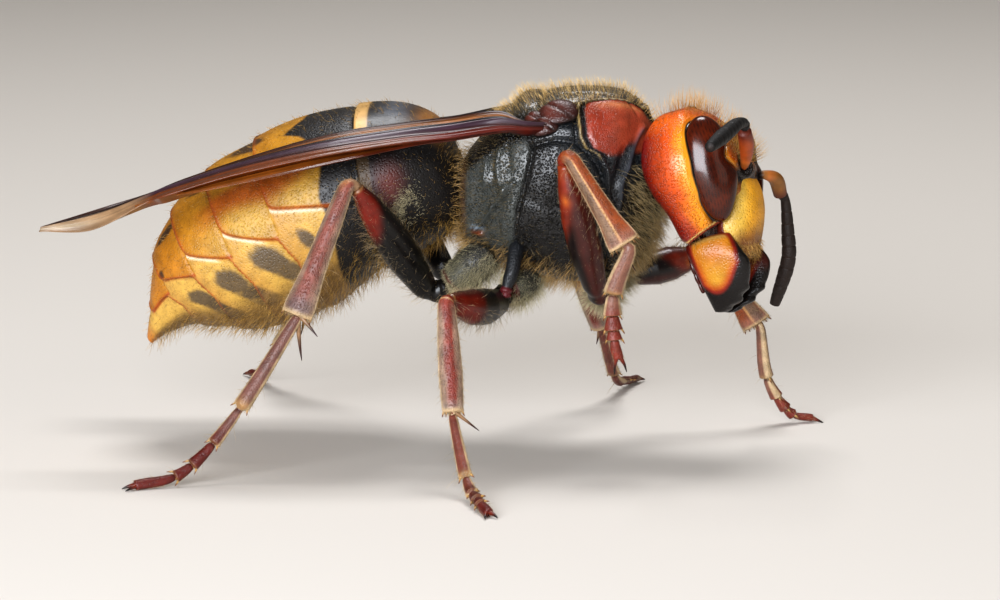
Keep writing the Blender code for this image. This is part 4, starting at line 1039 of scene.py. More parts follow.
# %% Antennae
def antenna(name):
    socket, elbow, middle, tip = feeler_keys(name)
    way = unit(elbow - socket)
    root = from_head(to_head(socket) - np.array((0.32, 0.0, 0.04)))
    bow = {"right": (0.10, -0.05, 0.02), "left": (0.12, 0.0, 0.22)}[name]
    path = curve((root, socket, (socket + elbow) / 2 + np.array(bow), elbow), 60)
    halves = curve(((0.15, 0.15), (0.18, 0.18), (0.30, 0.27), (0.28, 0.27)), 60)
    rings = tube_rings(path, rounded(path, halves, 0.7), (0.3, 0.1, 1.0), 26)
    part = down_rows(rings.shape[:2])
    paint = lay(coat_of(part.shape, "#9A4416" if name == "right" else "#8A5A22"),
            ("#B86A2E", bump(part, 0.42, 0.10) * 0.7),
            ("#1C0E0A", fall(part, 0.22, 0.30)),
            ("#4E140A", step(part, 0.74, 0.98) * 0.85))
    grids = [(rings, paint, 0.4)]
    first = elbow + way * (GAP + 0.20)
    keys = (elbow + way * 0.05, first, first + (middle - first) * 0.5 + way * 0.15, middle, tip)
    rows = 220
    beads = curve(keys, rows)
    lengths = lengths_along(beads)
    share = lengths / lengths[-1]
    joints = np.array((0.0, 0.055, 0.19, 0.29, 0.385, 0.475, 0.56, 0.645, 0.73, 0.81, 0.895, 1.0))
    number = np.clip(np.searchsorted(joints, share, side="right") - 1, 0, 10)
    local = (share - joints[number]) / np.diff(joints)[number]
    size = np.interp(share, (0, 0.05, 0.06, 0.20, 0.45, 0.70, 0.90, 1.0),
                     (0.19, 0.20, 0.17, 0.22, 0.285, 0.30, 0.25, 0.20))
    size = size * (1 - 0.09 * (bump(local, 0.0, 0.05) + bump(local, 1.0, 0.05)) + 0.025
                   * np.sin(math.pi * local))
    rings = tube_rings(beads, rounded(beads, same_both(size), 1.1), (0.2, 0.1, 1.0), 26)
    paint = coat_of(rings.shape[:2], "#0A0707")
    seam = np.broadcast_to((bump(local, 0.0, 0.04) + bump(local, 1.0, 0.04))[:, None], rings.shape[:2])
    paint = lay(paint, ("#2C1A12", np.clip(seam, 0, 1) * 0.7))
    if name == "left":
        paint = lay(paint, ("#2C1B12", 0.6))
    grids.append((rings, paint, 0.9))
    skin_from("feeler_" + name, grids, FINISHES["whip"],
              ("scape_" + name, "flagellum_" + name))


for feeler_name in ANTENNAE:
    antenna(feeler_name)


# %% [markdown]
# ## Legs
# Each leg is hip (coxa), thigh (femur), shin (tibia) and a foot of five short joints with two
# claws. The joints follow the paths of the solids, and the skins run into one another at the
# knees. Shins carry pale edges of dense down and one or two spurs.

# %% Leg paths
def bent_path(start, way_in, end, radius, turn_steps, straight_steps):
    """Leave start along way_in, turn on an arc, then run straight to end."""
    start, way_in, end = np.asarray(start, float), unit(way_in), np.asarray(end, float)
    way_out = unit(end - start)
    for _ in range(6):
        turn = math.acos(max(-1.0, min(1.0, float(np.dot(way_in, way_out)))))
        sideways = unit(way_out - way_in * np.dot(way_in, way_out))
        arc = [start + radius * (math.sin(turn * part) * way_in + (1 - math.cos(turn * part)) * sideways)
               for part in np.linspace(0, 1, turn_steps + 1)]
        way_out = unit(end - arc[-1])
    run = [arc[-1] + (end - arc[-1]) * part for part in np.linspace(0, 1, straight_steps + 1)[1:]]
    return np.array(arc + run), way_out


def thorax_point(x, degrees, side):
    """A place on the thorax with its outward way."""
    angle = math.radians(degrees) * side
    low, high = 0.0, 10.0

    def at(place, turn):
        top_x, top_z, low_x, low_z, half = along(THORAX_RINGS, place)
        rise, out = corner(math.cos(turn), THORAX_SQUARENESS), corner(math.sin(turn), THORAX_SQUARENESS)
        return np.array(((top_x + low_x) / 2 + (top_x - low_x) / 2 * rise, half * out,
                         (top_z + low_z) / 2 + (top_z - low_z) / 2 * rise))

    for _ in range(40):
        middle = (low + high) / 2
        low, high = (middle, high) if at(middle, angle)[0] > x else (low, middle)
    here = at(low, angle)
    way = unit(np.cross(at(low, angle + 0.05) - here, at(low + 0.05, angle) - here))
    return here, way if np.dot(way, here - np.array((here[0], 0, 10.7))) > 0 else -way


def stretched(path, before, after):
    """Run a path on at both ends, so that joints lie inside one another."""
    return np.concatenate(([path[0] - unit(path[1] - path[0]) * before], path,
                           [path[-1] + unit(path[-1] - path[-2]) * after]))


# %% Shapes and colours of the legs
# The way that the flat side of each shin faces.
FACING = {"fore": (0.10, -1.0, 0.15), "mid": (0.20, -1.0, 0.20), "hind": (0.0, -1.0, 0.35)}
# Along each thigh and shin: (share of its length, half its width), from its start.
THIGH_SHAPE = ((0.0, 0.55), (0.10, 0.66), (0.16, 0.50), (0.24, 0.72), (0.45, 1.0), (0.65, 0.98), (0.85, 0.70),
               (0.96, 0.42), (1.0, 0.36))
# The narrow front piece of each middle hip, as (x, y to the left, z), and its half width.
FRONT_PIECE = np.array(((3.90, 1.90, 8.75), (3.80, 2.55, 8.30), (3.70, 3.00, 7.60), (3.50, 3.20, 6.95),
                        (3.46, 3.25, 6.55)))
FRONT_PIECE_SHAPE = ((0.0, 0.24), (0.2, 0.30), (0.6, 0.27), (0.74, 0.20), (0.80, 0.26), (0.88, 0.20),
                     (0.94, 0.24), (1.0, 0.16))
# How wide the first four joints of a foot are, and how each joint swells from its start to its end.
FOOT_WIDTHS = {"fore": (1.05, 1.0, 0.95, 0.85), "mid": (0.82, 0.80, 0.78, 0.74),
               "hind": (0.92, 0.72, 0.70, 0.68)}
JOINT_SWELL = ((0.0, 0.42), (0.05, 0.60), (0.15, 0.72), (0.4, 0.82), (0.6, 0.90), (0.85, 1.0), (0.955, 1.06),
               (0.97, 0.84), (0.99, 0.45))
SHIN_SHAPE = {
    "fore": ((0.0, 0.22), (0.05, 0.27), (0.18, 0.31), (0.50, 0.38), (0.75, 0.46), (0.92, 0.62), (1.0, 0.66)),
    "mid": ((0.0, 0.22), (0.05, 0.28), (0.18, 0.34), (0.45, 0.43), (0.70, 0.47), (0.92, 0.43), (1.0, 0.40)),
    "hind": ((0.0, 0.20), (0.04, 0.25), (0.14, 0.30), (0.40, 0.40), (0.70, 0.47), (0.92, 0.62), (1.0, 0.62)),
}


def curved_cone(root, way, bend, length, half):
    """A spike with eight sides that starts at root along way and leans over by bend."""
    part = np.linspace(0, 1, 18)
    path = root + np.outer(part * length, unit(way)) + np.outer(part ** 2 * length, bend)
    size = half * (1 - part) ** 0.8 + 0.012
    return tube_rings(path, same_both(size), (0.31, 0.17, 0.93), 8, low=0.0)


def flat_tube(path, halves, side_way, sides, square, low=None):
    """A tube whose section runs from an oval (square 2) to a lens with sharp edges (under 2)."""
    across, angles, rings, ways, wides = unit(side_way), angle_row(sides), [], [], []
    for number in reversed(range(len(path))):
        way = unit(path[min(number + 1, len(path) - 1)] - path[max(number - 1, 0)])
        across = unit(across - way * np.dot(across, way))
        within = np.cross(way, across)
        wide, thick = halves[number]
        rings.append(path[number] + np.outer(corner(np.cos(angles), square) * wide, within)
                     + np.outer(corner(np.sin(angles), square) * thick, across))
        ways.append(way)
        wides.append(within)
    rings, ways, wides = np.array(rings[::-1]), ways[::-1], wides[::-1]
    if low is not None:
        rings[..., 2] = np.maximum(rings[..., 2], low)
    return rings, np.array(ways), np.array(wides), angles


# Each spur: its direction, its length, half its width.
SPURS = {"fore": (((0.30, 0.0, -1.0), 1.00, 0.07),),
         "mid": (((0.80, 0.0, -0.62), 1.00, 0.08), ((-0.10, 0.3, -1.0), 0.70, 0.07)),
         "hind": (((0.02, 0.0, -1.0), 1.55, 0.12), ((0.70, 0.2, -0.72), 0.95, 0.10))}


def streaks(part, edge, number):
    """Fine lengthwise streaks from 0 to 1."""
    return (0.5 + 0.25 * np.sin(edge * 17 + 4 * np.sin(part * 7 + number))
            + 0.25 * np.sin(edge * 39 + part * 15 + number))


def profile(shape, count):
    """Read a shape, given along a part's length, at evenly spread places."""
    return read(shape, np.linspace(0, 1, count))


def coxa_paint(part, edge, kind):
    return lay(coat_of(part.shape, "#1E1D19"),
            ("#4A4838", 0.7 * step(part, 0.25, 0.7)),
            ("#4A140C", step(part, 0.88, 0.97)))


def femur_paint(part, edge, kind):
    if kind == "fore":
        return lay(coat_of(part.shape, "#74220C"),
                # Darker along both edges, a painted shade on the round thigh.
                ("#3A0E08", step(np.abs(edge), 0.35, 0.90) * 0.8),
                ("#140A09", fall(part + 0.16 * edge, 0.54, 0.70) * (1 - 0.5 * step(-edge, 0.3, 0.9))),
                ("#B8641C", bump(part, 0.80, 0.03) * bump(edge, -0.3, 0.3) * 0.6),
                ("#8A3A16", step(part, 0.88, 0.97) * 0.7))
    paint = coat_of(part.shape, "#0B0908")
    red = step(part - 0.12 * edge, 0.74, 0.86) if kind == "hind" else step(part, 0.58, 0.74)
    return lay(paint,
            ("#641404", red),
            ("#2A0C08", red * step(edge, 0.2, 0.8) * 0.6),
            ("#7A5A34", step(part, 0.97, 0.99) * 0.7))


def tibia_paint(part, edge, kind):
    body = {"fore": "#84401A", "mid": "#742C20", "hind": "#723C30"}[kind]
    down = {"fore": "#74604C", "mid": "#8A7664", "hind": "#7E6C5C"}[kind]
    paint = coat_of(part.shape, body)
    away = np.abs(edge)
    if kind == "fore":
        paint = lay(paint,
                (down, step(edge, 0.10, 0.35) * fall(edge, 0.86, 0.95) * step(part, 0.08, 0.2) * 0.85),
                # A pale gold line down the middle of each face, a painted highlight along the ridge.
                ("#C89C64", bump(edge, 0.06, 0.08) * step(part, 0.10, 0.25)),
                ("#9A7060", step(part, 0.84, 0.96) * 0.6))
    elif kind == "mid":
        paint = lay(paint,
                (down, step(away + 0.2 * streaks(part, edge, 1), 0.4, 0.8) * 0.85 * step(part, 0.1, 0.3)),
                ("#A5968A", step(part, 0.88, 0.98) * 0.5))
    else:
        paint = lay(paint,
                (down, step(away + 0.25 * streaks(part, edge, 2), 0.55, 0.98) * 0.80),
                ("#6E6664", step(part, 0.82, 0.97) * fall(away, 0.6, 0.9) * 0.6),
                ("#9A6A2E", fall(part, 0.05, 0.25) * step(edge, -0.2, 0.4) * 0.7))
    return lay(paint,
            ("#3E1C16", streaks(part, edge, 5) ** 3 * 0.45 * step(part, 0.10, 0.2)),
            ("#C0A888", step(away, 0.90, 0.975) * step(part, 0.10, 0.18)),
            ("#BCA078", step(part, 0.950, 0.980) * 0.8),
            ("#7A2610" if kind != "hind" else "#94765A", fall(part, 0.07, 0.12)),
            ("#B89468", bump(part, 0.10, 0.012) * (kind == "mid") * 0.8))


# %% Leg skins
def foot_path(start, way, keys, kind, heel_half):
    """The line of a foot with its halves, and how far along it each of its places is."""
    fine = curve([start, start + way * GAP, *keys], 400)
    lengths = lengths_along(fine)
    total = lengths[-1]
    stations, halves, reach = [-0.012], [(heel_half * 0.4, heel_half * 0.4)], 0.0
    for number, share in enumerate(TARSOMERES):
        size = heel_half * FOOT_WIDTHS[kind][number] if number < 4 else FOOT_HALF * 0.95
        for part, swelling in JOINT_SWELL:
            if number == 4 and part > 0.5:
                swelling = swelling * (1.25 - 0.5 * part)
            stations.append(reach + share * part)
            halves.append((size * swelling, size * swelling * 0.72))
        reach += share
    stations.append(1.0)
    halves.append((FOOT_HALF * 0.4, FOOT_HALF * 0.4))
    stations = np.array(stations)
    dense = np.sort(np.concatenate((stations, (stations[1:] + stations[:-1]) / 2)))
    halves = np.stack([np.interp(dense, stations, np.array(halves)[:, axis]) for axis in range(2)], axis=-1)
    places = np.clip(dense, 0, 1) * total
    path = np.stack([np.interp(places, lengths, fine[:, axis]) for axis in range(3)], axis=-1)
    path[0] = path[1] - way * 0.1
    return path, halves, dense


def leg(name):
    kind, side = name.split("_")
    thigh, knee, ankle, heel, toe, claws = (np.array(place, float) for place in LEGS[name])
    hip, way = thorax_point(*HIPS[kind], 1 if side == "left" else -1)
    coxa_half, femur_half, heel_half = LEG_HALF[kind]
    plane = unit(np.cross(knee - thigh, ankle - knee))
    facing = np.array(FACING[kind])
    if side == "left":
        facing = facing * (1, -1, 1)
    grids, coats = [], []

    def segment(part_name, path, halves, side_way, paint_rule, pits, square=2.0, sides=30, low=None):
        rings, ways, wides, angles = flat_tube(path, halves, side_way, sides, square, low)
        part = down_rows(rings.shape[:2])
        edge = np.broadcast_to(np.cos(angles)[None, :], part.shape)
        paint = paint_rule(part, edge, kind)
        grids.append((rings, paint, pits(part) if callable(pits) else pits))
        coats.append({"name": part_name, "points": rings, "paint": paint, "part": part, "edge": edge,
                      "way": np.broadcast_to(ways[:, None, :], rings.shape)})
        return wides

    def spike(root, direction, bend, length, half, root_colour, tip_colour):
        rings = curved_cone(root, direction, bend, length, half)
        part = down_rows(rings.shape[:2])
        grids.append((rings, lay(coat_of(part.shape, root_colour), (tip_colour, step(part, 0.3, 0.8))), 0.0))

    # Hip
    path, way = bent_path(hip + way * GAP, way, thigh, COXA_RADIUS, 10, 14)
    halves = curve([(coxa_half * wide, coxa_half * thick) for wide, thick in COXA_SWELL], len(path))
    path = stretched(path, GAP + 0.25, GAP * 0.6)
    halves = np.concatenate((halves[:1], halves, halves[-1:] * 0.9))

    segment("coxa", path, rounded(path, halves, 0.8), (1.0, 0.2, 0.3), coxa_paint, 0.9)

    if kind == "mid":
        out = 1 if side == "left" else -1
        stem = curve(FRONT_PIECE * (1, out, 1), 60)
        size = profile(FRONT_PIECE_SHAPE, 60)
        rings = flat_tube(stem, rounded(stem, same_both(size), 0.6), (1, 0, 0), 28, 2.0)[0]
        part = down_rows(rings.shape[:2])
        grids.append((rings, lay(coat_of(part.shape, "#14161A"), ("#5A141A", step(part, 0.72, 0.78))), 0.8))

    # Thigh, with the ring-shaped trochanter at its start
    path, way = bent_path(thigh + way * GAP, way, knee, HIP_RADIUS, 16, 54)
    path = stretched(path, 0.15, GAP * 0.3)
    path[:, 2] -= {"mid": 0.42}.get(kind, 0.0) * np.sin(np.linspace(0, math.pi, len(path)))
    size = profile(THIGH_SHAPE, len(path)) * femur_half * {"mid": 1.15}.get(kind, 1.0)
    halves = np.stack((size, size * 0.88), axis=-1)

    segment("femur", path, rounded(path, halves, 0.5), plane, femur_paint, 0.10, square=2.1)

    # Shin
    path, way = bent_path(knee + way * GAP * 0.3, way, ankle, KNEE_RADIUS * 0.62, 14, 62)
    path = stretched(path, 0.12, 0.04)
    wide = profile(SHIN_SHAPE[kind], len(path))
    thick = np.interp(np.linspace(0, 1, len(path)), (0, 0.1, 0.9, 1), (0.20, 0.24, 0.34, 0.30))

    wides = segment("tibia", path, rounded(path, np.stack((wide, thick), axis=-1), 0.7), facing, tibia_paint,
                    lambda part: 0.1 + 0.7 * step(part, 0.06, 0.14), square=1.72, low=0.0)
    anchor, outward = path[-3], wides[-3]
    for number in range(7):
        lean = (number - 3) / 3
        spike(anchor + outward * lean * wide[-3] * 0.85, way + outward * lean * 0.35, way * 0.02, 0.26, 0.035,
              "#B08A50", "#5A3018")
    for direction, length, half in SPURS[kind]:
        aim_way = unit(np.array(direction) * (1, 1 if side == "left" else -1, 1))
        spike(anchor + aim_way * 0.12, aim_way, -outward * 0.12 + way * 0.10, length, half, "#8A6A4C",
              "#2E0E0A")

    # Foot
    start = ankle + way * 0.04
    path, halves, dense = foot_path(start, way, (heel, toe, claws), kind, heel_half)
    foot_way = {"fore_right": (0.1, -1.0, 0.15), "hind_right": (0.3, -0.75, 0.6)}.get(name, (0.0, 0.0, 1.0))
    if kind == "mid":
        foot_way = facing
    borders = np.cumsum((0,) + TARSOMERES)

    def tarsus_paint(part, edge, kind):
        reach_here = np.broadcast_to(np.clip(dense, 0, 1)[:, None], part.shape)
        number = np.clip(np.searchsorted(borders, reach_here, side="right") - 1, 0, 4)
        local = (reach_here - borders[number]) / np.diff(borders)[number]
        first, last = {"fore": ("#7C5444", "#6E281A"), "mid": ("#6A362A", "#50100A"),
                       "hind": ("#6A463C", "#56160E")}[kind]
        return lay(coat_of(part.shape, first),
                ("#4A241C", streaks(part, edge, 3) ** 2 * 0.5),
                (last, step(reach_here, 0.50, 0.66)),
                ("#94704A", step(local, 0.88, 0.95) * (0.75 * (number < 1) + 0.30 * (number < 4))),
                ("#BCA480", step(np.abs(edge), 0.72, 0.92) * (number < 2) * 0.85),
                ("#3A120C", fall(local, 0.02, 0.12) * (number > 0) * 0.6))

    wides = segment("tarsus", path, halves, foot_way, tarsus_paint, 0.6, square=1.8, sides=24, low=0.0)
    for number in range(4):
        at = int(np.searchsorted(dense, borders[number + 1] - 0.012 * (number < 1) - 0.006))
        onward = unit(path[min(at + 4, len(path) - 1)] - path[at - 3])
        for lean in (-1, -0.35, 0.35, 1):
            spike(path[at] + wides[at] * lean * halves[at][0] * 0.85, onward + wides[at] * lean * 0.55,
                  onward * 0.03, 0.24, 0.035, "#B08A50", "#6A3A1C")
    tip_way = unit(path[-1] - path[-6])
    flat = unit(np.cross(tip_way, (0.0, 0.0, 1.0) if abs(tip_way[2]) < 0.8 else (0.1, -1.0, 0.15)))
    down = 0.25 if name == "fore_right" else 0.10
    for spread in (-0.75, 0.75):
        spike(path[-1] - tip_way * 0.15, tip_way + flat * spread,
              -flat * spread * 0.35 + np.array((0, 0, -down)), 0.70, 0.10, "#6A2212", "#140C0A")
    skin_from("leg_" + name, grids, FINISHES["leg"],
              tuple(f"{segment_name}_{name}" for segment_name in ("coxa", "femur", "tibia", "tarsus")))
    return coats


legs = {name: leg(name) for name in LEGS}

# %% [markdown]
# ## Wings
# A resting hornet folds each forewing lengthwise into a narrow fan. Its upper edge is a dark
# vein, then comes amber membrane between veins, then the thick dark leading veins with a painted
# violet sheen, and a dark red margin. The veins are ridges raised in the membrane's own surface.

# %% Wing membrane material
def wing_membrane():
    """Chitin film, stained amber, IOR 1.40: glossy, and light shows through it a little."""
    material, tree, shader, place, paint = start_material(
        "amber_wing_membrane", Roughness=0.32, IOR=1.40, Coat_Weight=0.2, Coat_Roughness=0.12,
        Transmission_Weight=0.12)
    tint(tree, shader, paint, remap(tree, noise(tree, place, 0.8, 5.0), CLOUD, (0.75, 1.25)))
    relief(tree, noise(tree, place, 0.12, 2.0), 0.006, 0.3, shader)
    return material


# %% Wing blades
def wing_frame(rows, steps):
    """The inner and the outer edge of a wing, and the way up across it."""
    rows = np.asarray(rows, float)
    inner, outer = curve(rows[:, 0], steps), curve(rows[:, 1], steps)
    way = np.gradient(inner + outer, axis=0)
    ups = unit(np.cross(outer - inner, way))
    return inner, outer, np.where(ups[:, 2:3] > 0, ups, -ups)


def blade(inner, outer, ups, thick_rule, ridge_rule, paint_rule):
    """A closed strip by rules in mm: its top runs from inner to outer edge, its underside back again."""
    steps, columns = len(inner), 72
    across = (1 - np.cos(np.linspace(0, math.pi, columns))) / 2
    across = (across * 0.5 + np.linspace(0, 1, columns) * 0.5)[None, :]
    part = np.linspace(0, 1, steps)[:, None]
    flat = inner[:, None] + (outer - inner)[:, None] * across[..., None]
    ridge = ridge_rule(part, across) + 0 * part * across
    thick = thick_rule(part, across) + 0 * part * across
    top = flat + ups[:, None] * ridge[..., None]
    low = flat - ups[:, None] * thick[..., None]
    grid = np.concatenate((top, low[:, ::-1]), axis=1)
    paint = paint_rule(part + 0 * across, across + 0 * part)
    return grid, np.concatenate((paint, paint[:, ::-1]), axis=1)


# Where the forewings start, where the right one ends, and how far the last rows of the left one rise.
WING_ROOT = {"right": ((4.85, -2.62, 13.50), (4.90, -2.95, 13.22)),
             "left": ((4.85, 2.62, 13.45), (4.90, 2.95, 13.18))}
RIGHT_TIP = (((-9.20, -3.65, 11.12), (-9.55, -5.90, 10.85)), ((-10.49, -4.20, 10.62), (-10.44, -5.40, 10.46)),
             ((-12.25, -4.60, 10.10), (-12.49, -5.90, 9.42)), ((-14.52, -5.70, 9.46), (-14.59, -5.95, 9.33)))
LEFT_TIP_RISE = ((0.30,), (0.50,), (0.15,))


def band(part):
    """Where the dark leading band starts and ends across the folded wing, from root to tip."""
    return 0.36 - 0.20 * step(part, 0.40, 0.85), 0.84 - 0.26 * step(part, 0.30, 0.85)


def forewing(name, finish):
    rows = np.array((WING_ROOT[name], *FOREWINGS[name]))
    if name == "right":
        rows = np.concatenate((rows[:-3], RIGHT_TIP))
    else:
        rows[-3:, :, 2] += LEFT_TIP_RISE
    inner, outer, ups = wing_frame(rows, 230)

    def ridges(part, across):
        start, end = band(part)
        fade = 1 - 0.65 * part
        height = 0.05 * bump(across, 0.03, 0.03) + 0.07 * fade * bump(across, 0.15, 0.03)
        height = height + 0.10 * fade * bump(across, start, 0.030)
        height = height + 0.24 * fade * bump(across, start + (end - start) * 0.50, 0.13)
        height = height + 0.08 * fade * bump(across, end, 0.045) + 0.05 * fade * bump(across, 0.95, 0.03)
        return height - 0.10 * fade * bump(across, start - 0.05, 0.04)

    def thickness(part, across):
        rim = np.clip(0.15 + 3.5 * np.minimum(across, 1 - across), 0, 1)
        start, _ = band(part)
        shape = 0.07 + 0.33 * step(across, start - 0.04, start + 0.10)
        return shape * rim * (1 - 0.80 * step(part, 0.70, 0.95))

    def paint(part, across):
        start, end = band(part)
        within = (across - start) / (end - start)
        dark = step(within, -0.10, 0.02) * fall(within, 0.96, 1.06)
        lines = 0.5 + 0.5 * np.sin(across * 95 + 2.5 * np.sin(part * 7))
        rear = step(within, 0.98, 1.08)
        tip = step(part, 0.77, 0.86)
        return lay(coat_of(part.shape, "#522810"),
                ("#8E5622", bump(across, 0.22, 0.09) * fall(part, 0.4, 0.75)),
                ("#1E0C08", fall(across, 0.04, 0.08)),
                ("#160A08", bump(across, 0.15, 0.03) * 0.8),
                ("#0E080A", dark),
                # Painted violet sheen on the dark fold.
                ("#422C38", dark * step(within, 0.26, 0.44)),
                ("#3C1814", dark * step(within, 0.66, 0.86)),
                ("#0C0606", lines ** 2 * 0.30),
                ("#58180C", rear * fall(part, 0.30, 0.55)),
                ("#6A3414", rear * step(part, 0.30, 0.55)),
                ("#6E3A18", rear * bump(across, 0.93, 0.05) * step(part, 0.30, 0.50)),
                ("#8E7052", tip * step(across, 0.18, 0.34)),
                ("#B5A288", step(part, 0.86, 0.96) * bump(across, 0.62, 0.16) * 0.8),
                ("#3A2016", tip * fall(across, 0.10, 0.24)))

    grid, colour = blade(inner, outer, ups, thickness, ridges, paint)
    skin_from("forewing_" + name, [(grid, colour, 0.0)], finish, ("forewing_" + name,))


def hindwing(name, finish):
    inner, outer, ups = wing_frame(FOREWINGS[name], 120)
    part = np.linspace(0, 1, 120)[:, None]
    spread = outer - inner
    hill = step(part, 0.30, 0.56) * fall(part, 0.66, 0.80)
    near = inner + spread * (0.20 + 0.2 * part) - ups * 0.22
    far = inner + spread * (0.84 + 0.42 * hill) - ups * (0.30 - 0.05 * hill)
    pick = slice(10, 98)
    near, far = near[pick].copy(), far[pick].copy()
    beyond = ((np.linspace(0, 1, len(near)) - 0.60) / 0.401).clip(0, 1)
    taper = np.sqrt(np.clip(1 - beyond ** 2, 0.01, 1))[:, None]
    middle = (near + far) / 2
    near, far = middle + (near - middle) * taper, middle + (far - middle) * taper
    ups = ups[pick]

    def ridges(part, across):
        height = (0.03 * bump(across, 0.30, 0.03) + 0.03 * bump(across, 0.62, 0.03)
                  + 0.06 * bump(across, 0.93, 0.04))
        return height * (1 - 0.5 * part)

    def thickness(part, across):
        rim = np.clip(0.2 + 4 * np.minimum(across, 1 - across), 0, 1)
        return (0.05 + 0.08 * step(across, 0.8, 0.95)) * rim

    def paint(part, across):
        return lay(coat_of(part.shape, "#6A3612"),
                ("#4A200C", bump(across, 0.30, 0.03) + bump(across, 0.62, 0.03)),
                ("#A05E20", step(part, 0.4, 0.7) * 0.7),
                ("#4A1A0C", step(across, 0.90, 0.96) * (0.9 - 0.6 * step(part, 0.5, 0.8))))

    grid, colour = blade(near, far, ups, thickness, ridges, paint)
    skin_from("hindwing_" + name, [(grid, colour, 0.0)], finish, ("hindwing_" + name,))


film = wing_membrane()
for wing_side in ("right", "left"):
    forewing(wing_side, film)
    hindwing(wing_side, film)


# %% Tegulae, the glossy scales over the wing roots
# Each scale: (x, degrees down), its half sizes, how far it lies out.
SCALES = (((5.42, 41.0), (0.82, 0.60, 0.26), 0.12), ((4.92, 52.0), (0.60, 0.42, 0.22), 0.16),
          ((4.52, 45.0), (0.46, 0.38, 0.20), 0.12))


def tegula(name):
    side = -1 if name == "right" else 1
    grids = []
    for (x, degrees), half, lift in SCALES:
        here, way = thorax_point(x, degrees, side)
        forward = unit(np.array((1.0, 0.0, 0.25)) - way * np.dot((1.0, 0.0, 0.25), way))
        across = np.cross(way, forward)
        tilt = np.linspace(0.03, math.pi - 0.03, 40)[:, None]
        turn = angle_row(56)[None, :]
        ball = (np.cos(tilt) + 0 * turn, corner(np.sin(tilt) * np.cos(turn), 2.3),
                corner(np.sin(tilt) * np.sin(turn), 2.3))
        grid = here + way * lift + sum(size * part[..., None] * direction for size, part, direction
                                       in zip(half, ball, (forward, across, way)))
        crease = 0.05 * bump(ball[0] + 0.8 * ball[1], 0.1, 0.14)
        grid = grid - way * (0.10 * ball[0] ** 2 + crease)[..., None]
        paint = lay(coat_of(grid.shape[:2], "#2E0F0A"),
                # A painted highlight on the top of each scale.
                ("#5E2C22", bump(ball[2], 1.0, 0.35) * bump(ball[0], -0.3, 0.7) * 0.7),
                # Painted shade in the crease.
                ("#120806", np.clip(crease * 10, 0, 0.6)),
                # Darker on the underside, a painted shade where the scale lies on the thorax.
                ("#0E0706", fall(ball[2], 0.10, 0.45)))
        grids.append((grid, paint, 1.0))
    skin_from("tegula_" + name, grids, FINISHES["smooth"], ("tegula_" + name,))


for wing_side in ("right", "left"):
    tegula(wing_side)


# %% [markdown]
# ## The coat
# The hornet's hair is real mesh: thin three-sided spikes with a bend in the middle, their roots
# sunk in the skin. Long golden hairs stand on the back and the crown, short ones lie along the
# rings and the legs. Many hairs take part of their colour from the skin at their root. The map named
# OFBake gives every hair a small patch at its root's place on the unwrapped skin.

# %% Hair material
def hair_material():
    """Fine chitin hair, IOR 1.55, satin, with tones that change from tuft to tuft."""
    material, tree, shader, place, paint = start_material("golden_hair", Roughness=0.42, IOR=1.55)
    tint(tree, shader, paint, remap(tree, noise(tree, place, 0.3, 1.0), CLOUD, (0.8, 1.2)))
    return material


HAIR = hair_material()
# How much of the map each hair's patch takes, and the angle between a hair's three sides.
PATCH = 0.003
THIRD_TURN = 2.0944
hair_triangles = 0


# %% Grow hairs from a grid
LONG_HAIR = np.array(((0, 2, 1), (0, 1, 4), (0, 4, 3), (1, 2, 5), (1, 5, 4), (2, 0, 3), (2, 3, 5),
                      (3, 4, 6), (4, 5, 6), (5, 3, 6)))
SHORT_HAIR = np.array(((0, 2, 1), (0, 1, 3), (1, 2, 3), (2, 0, 3)))


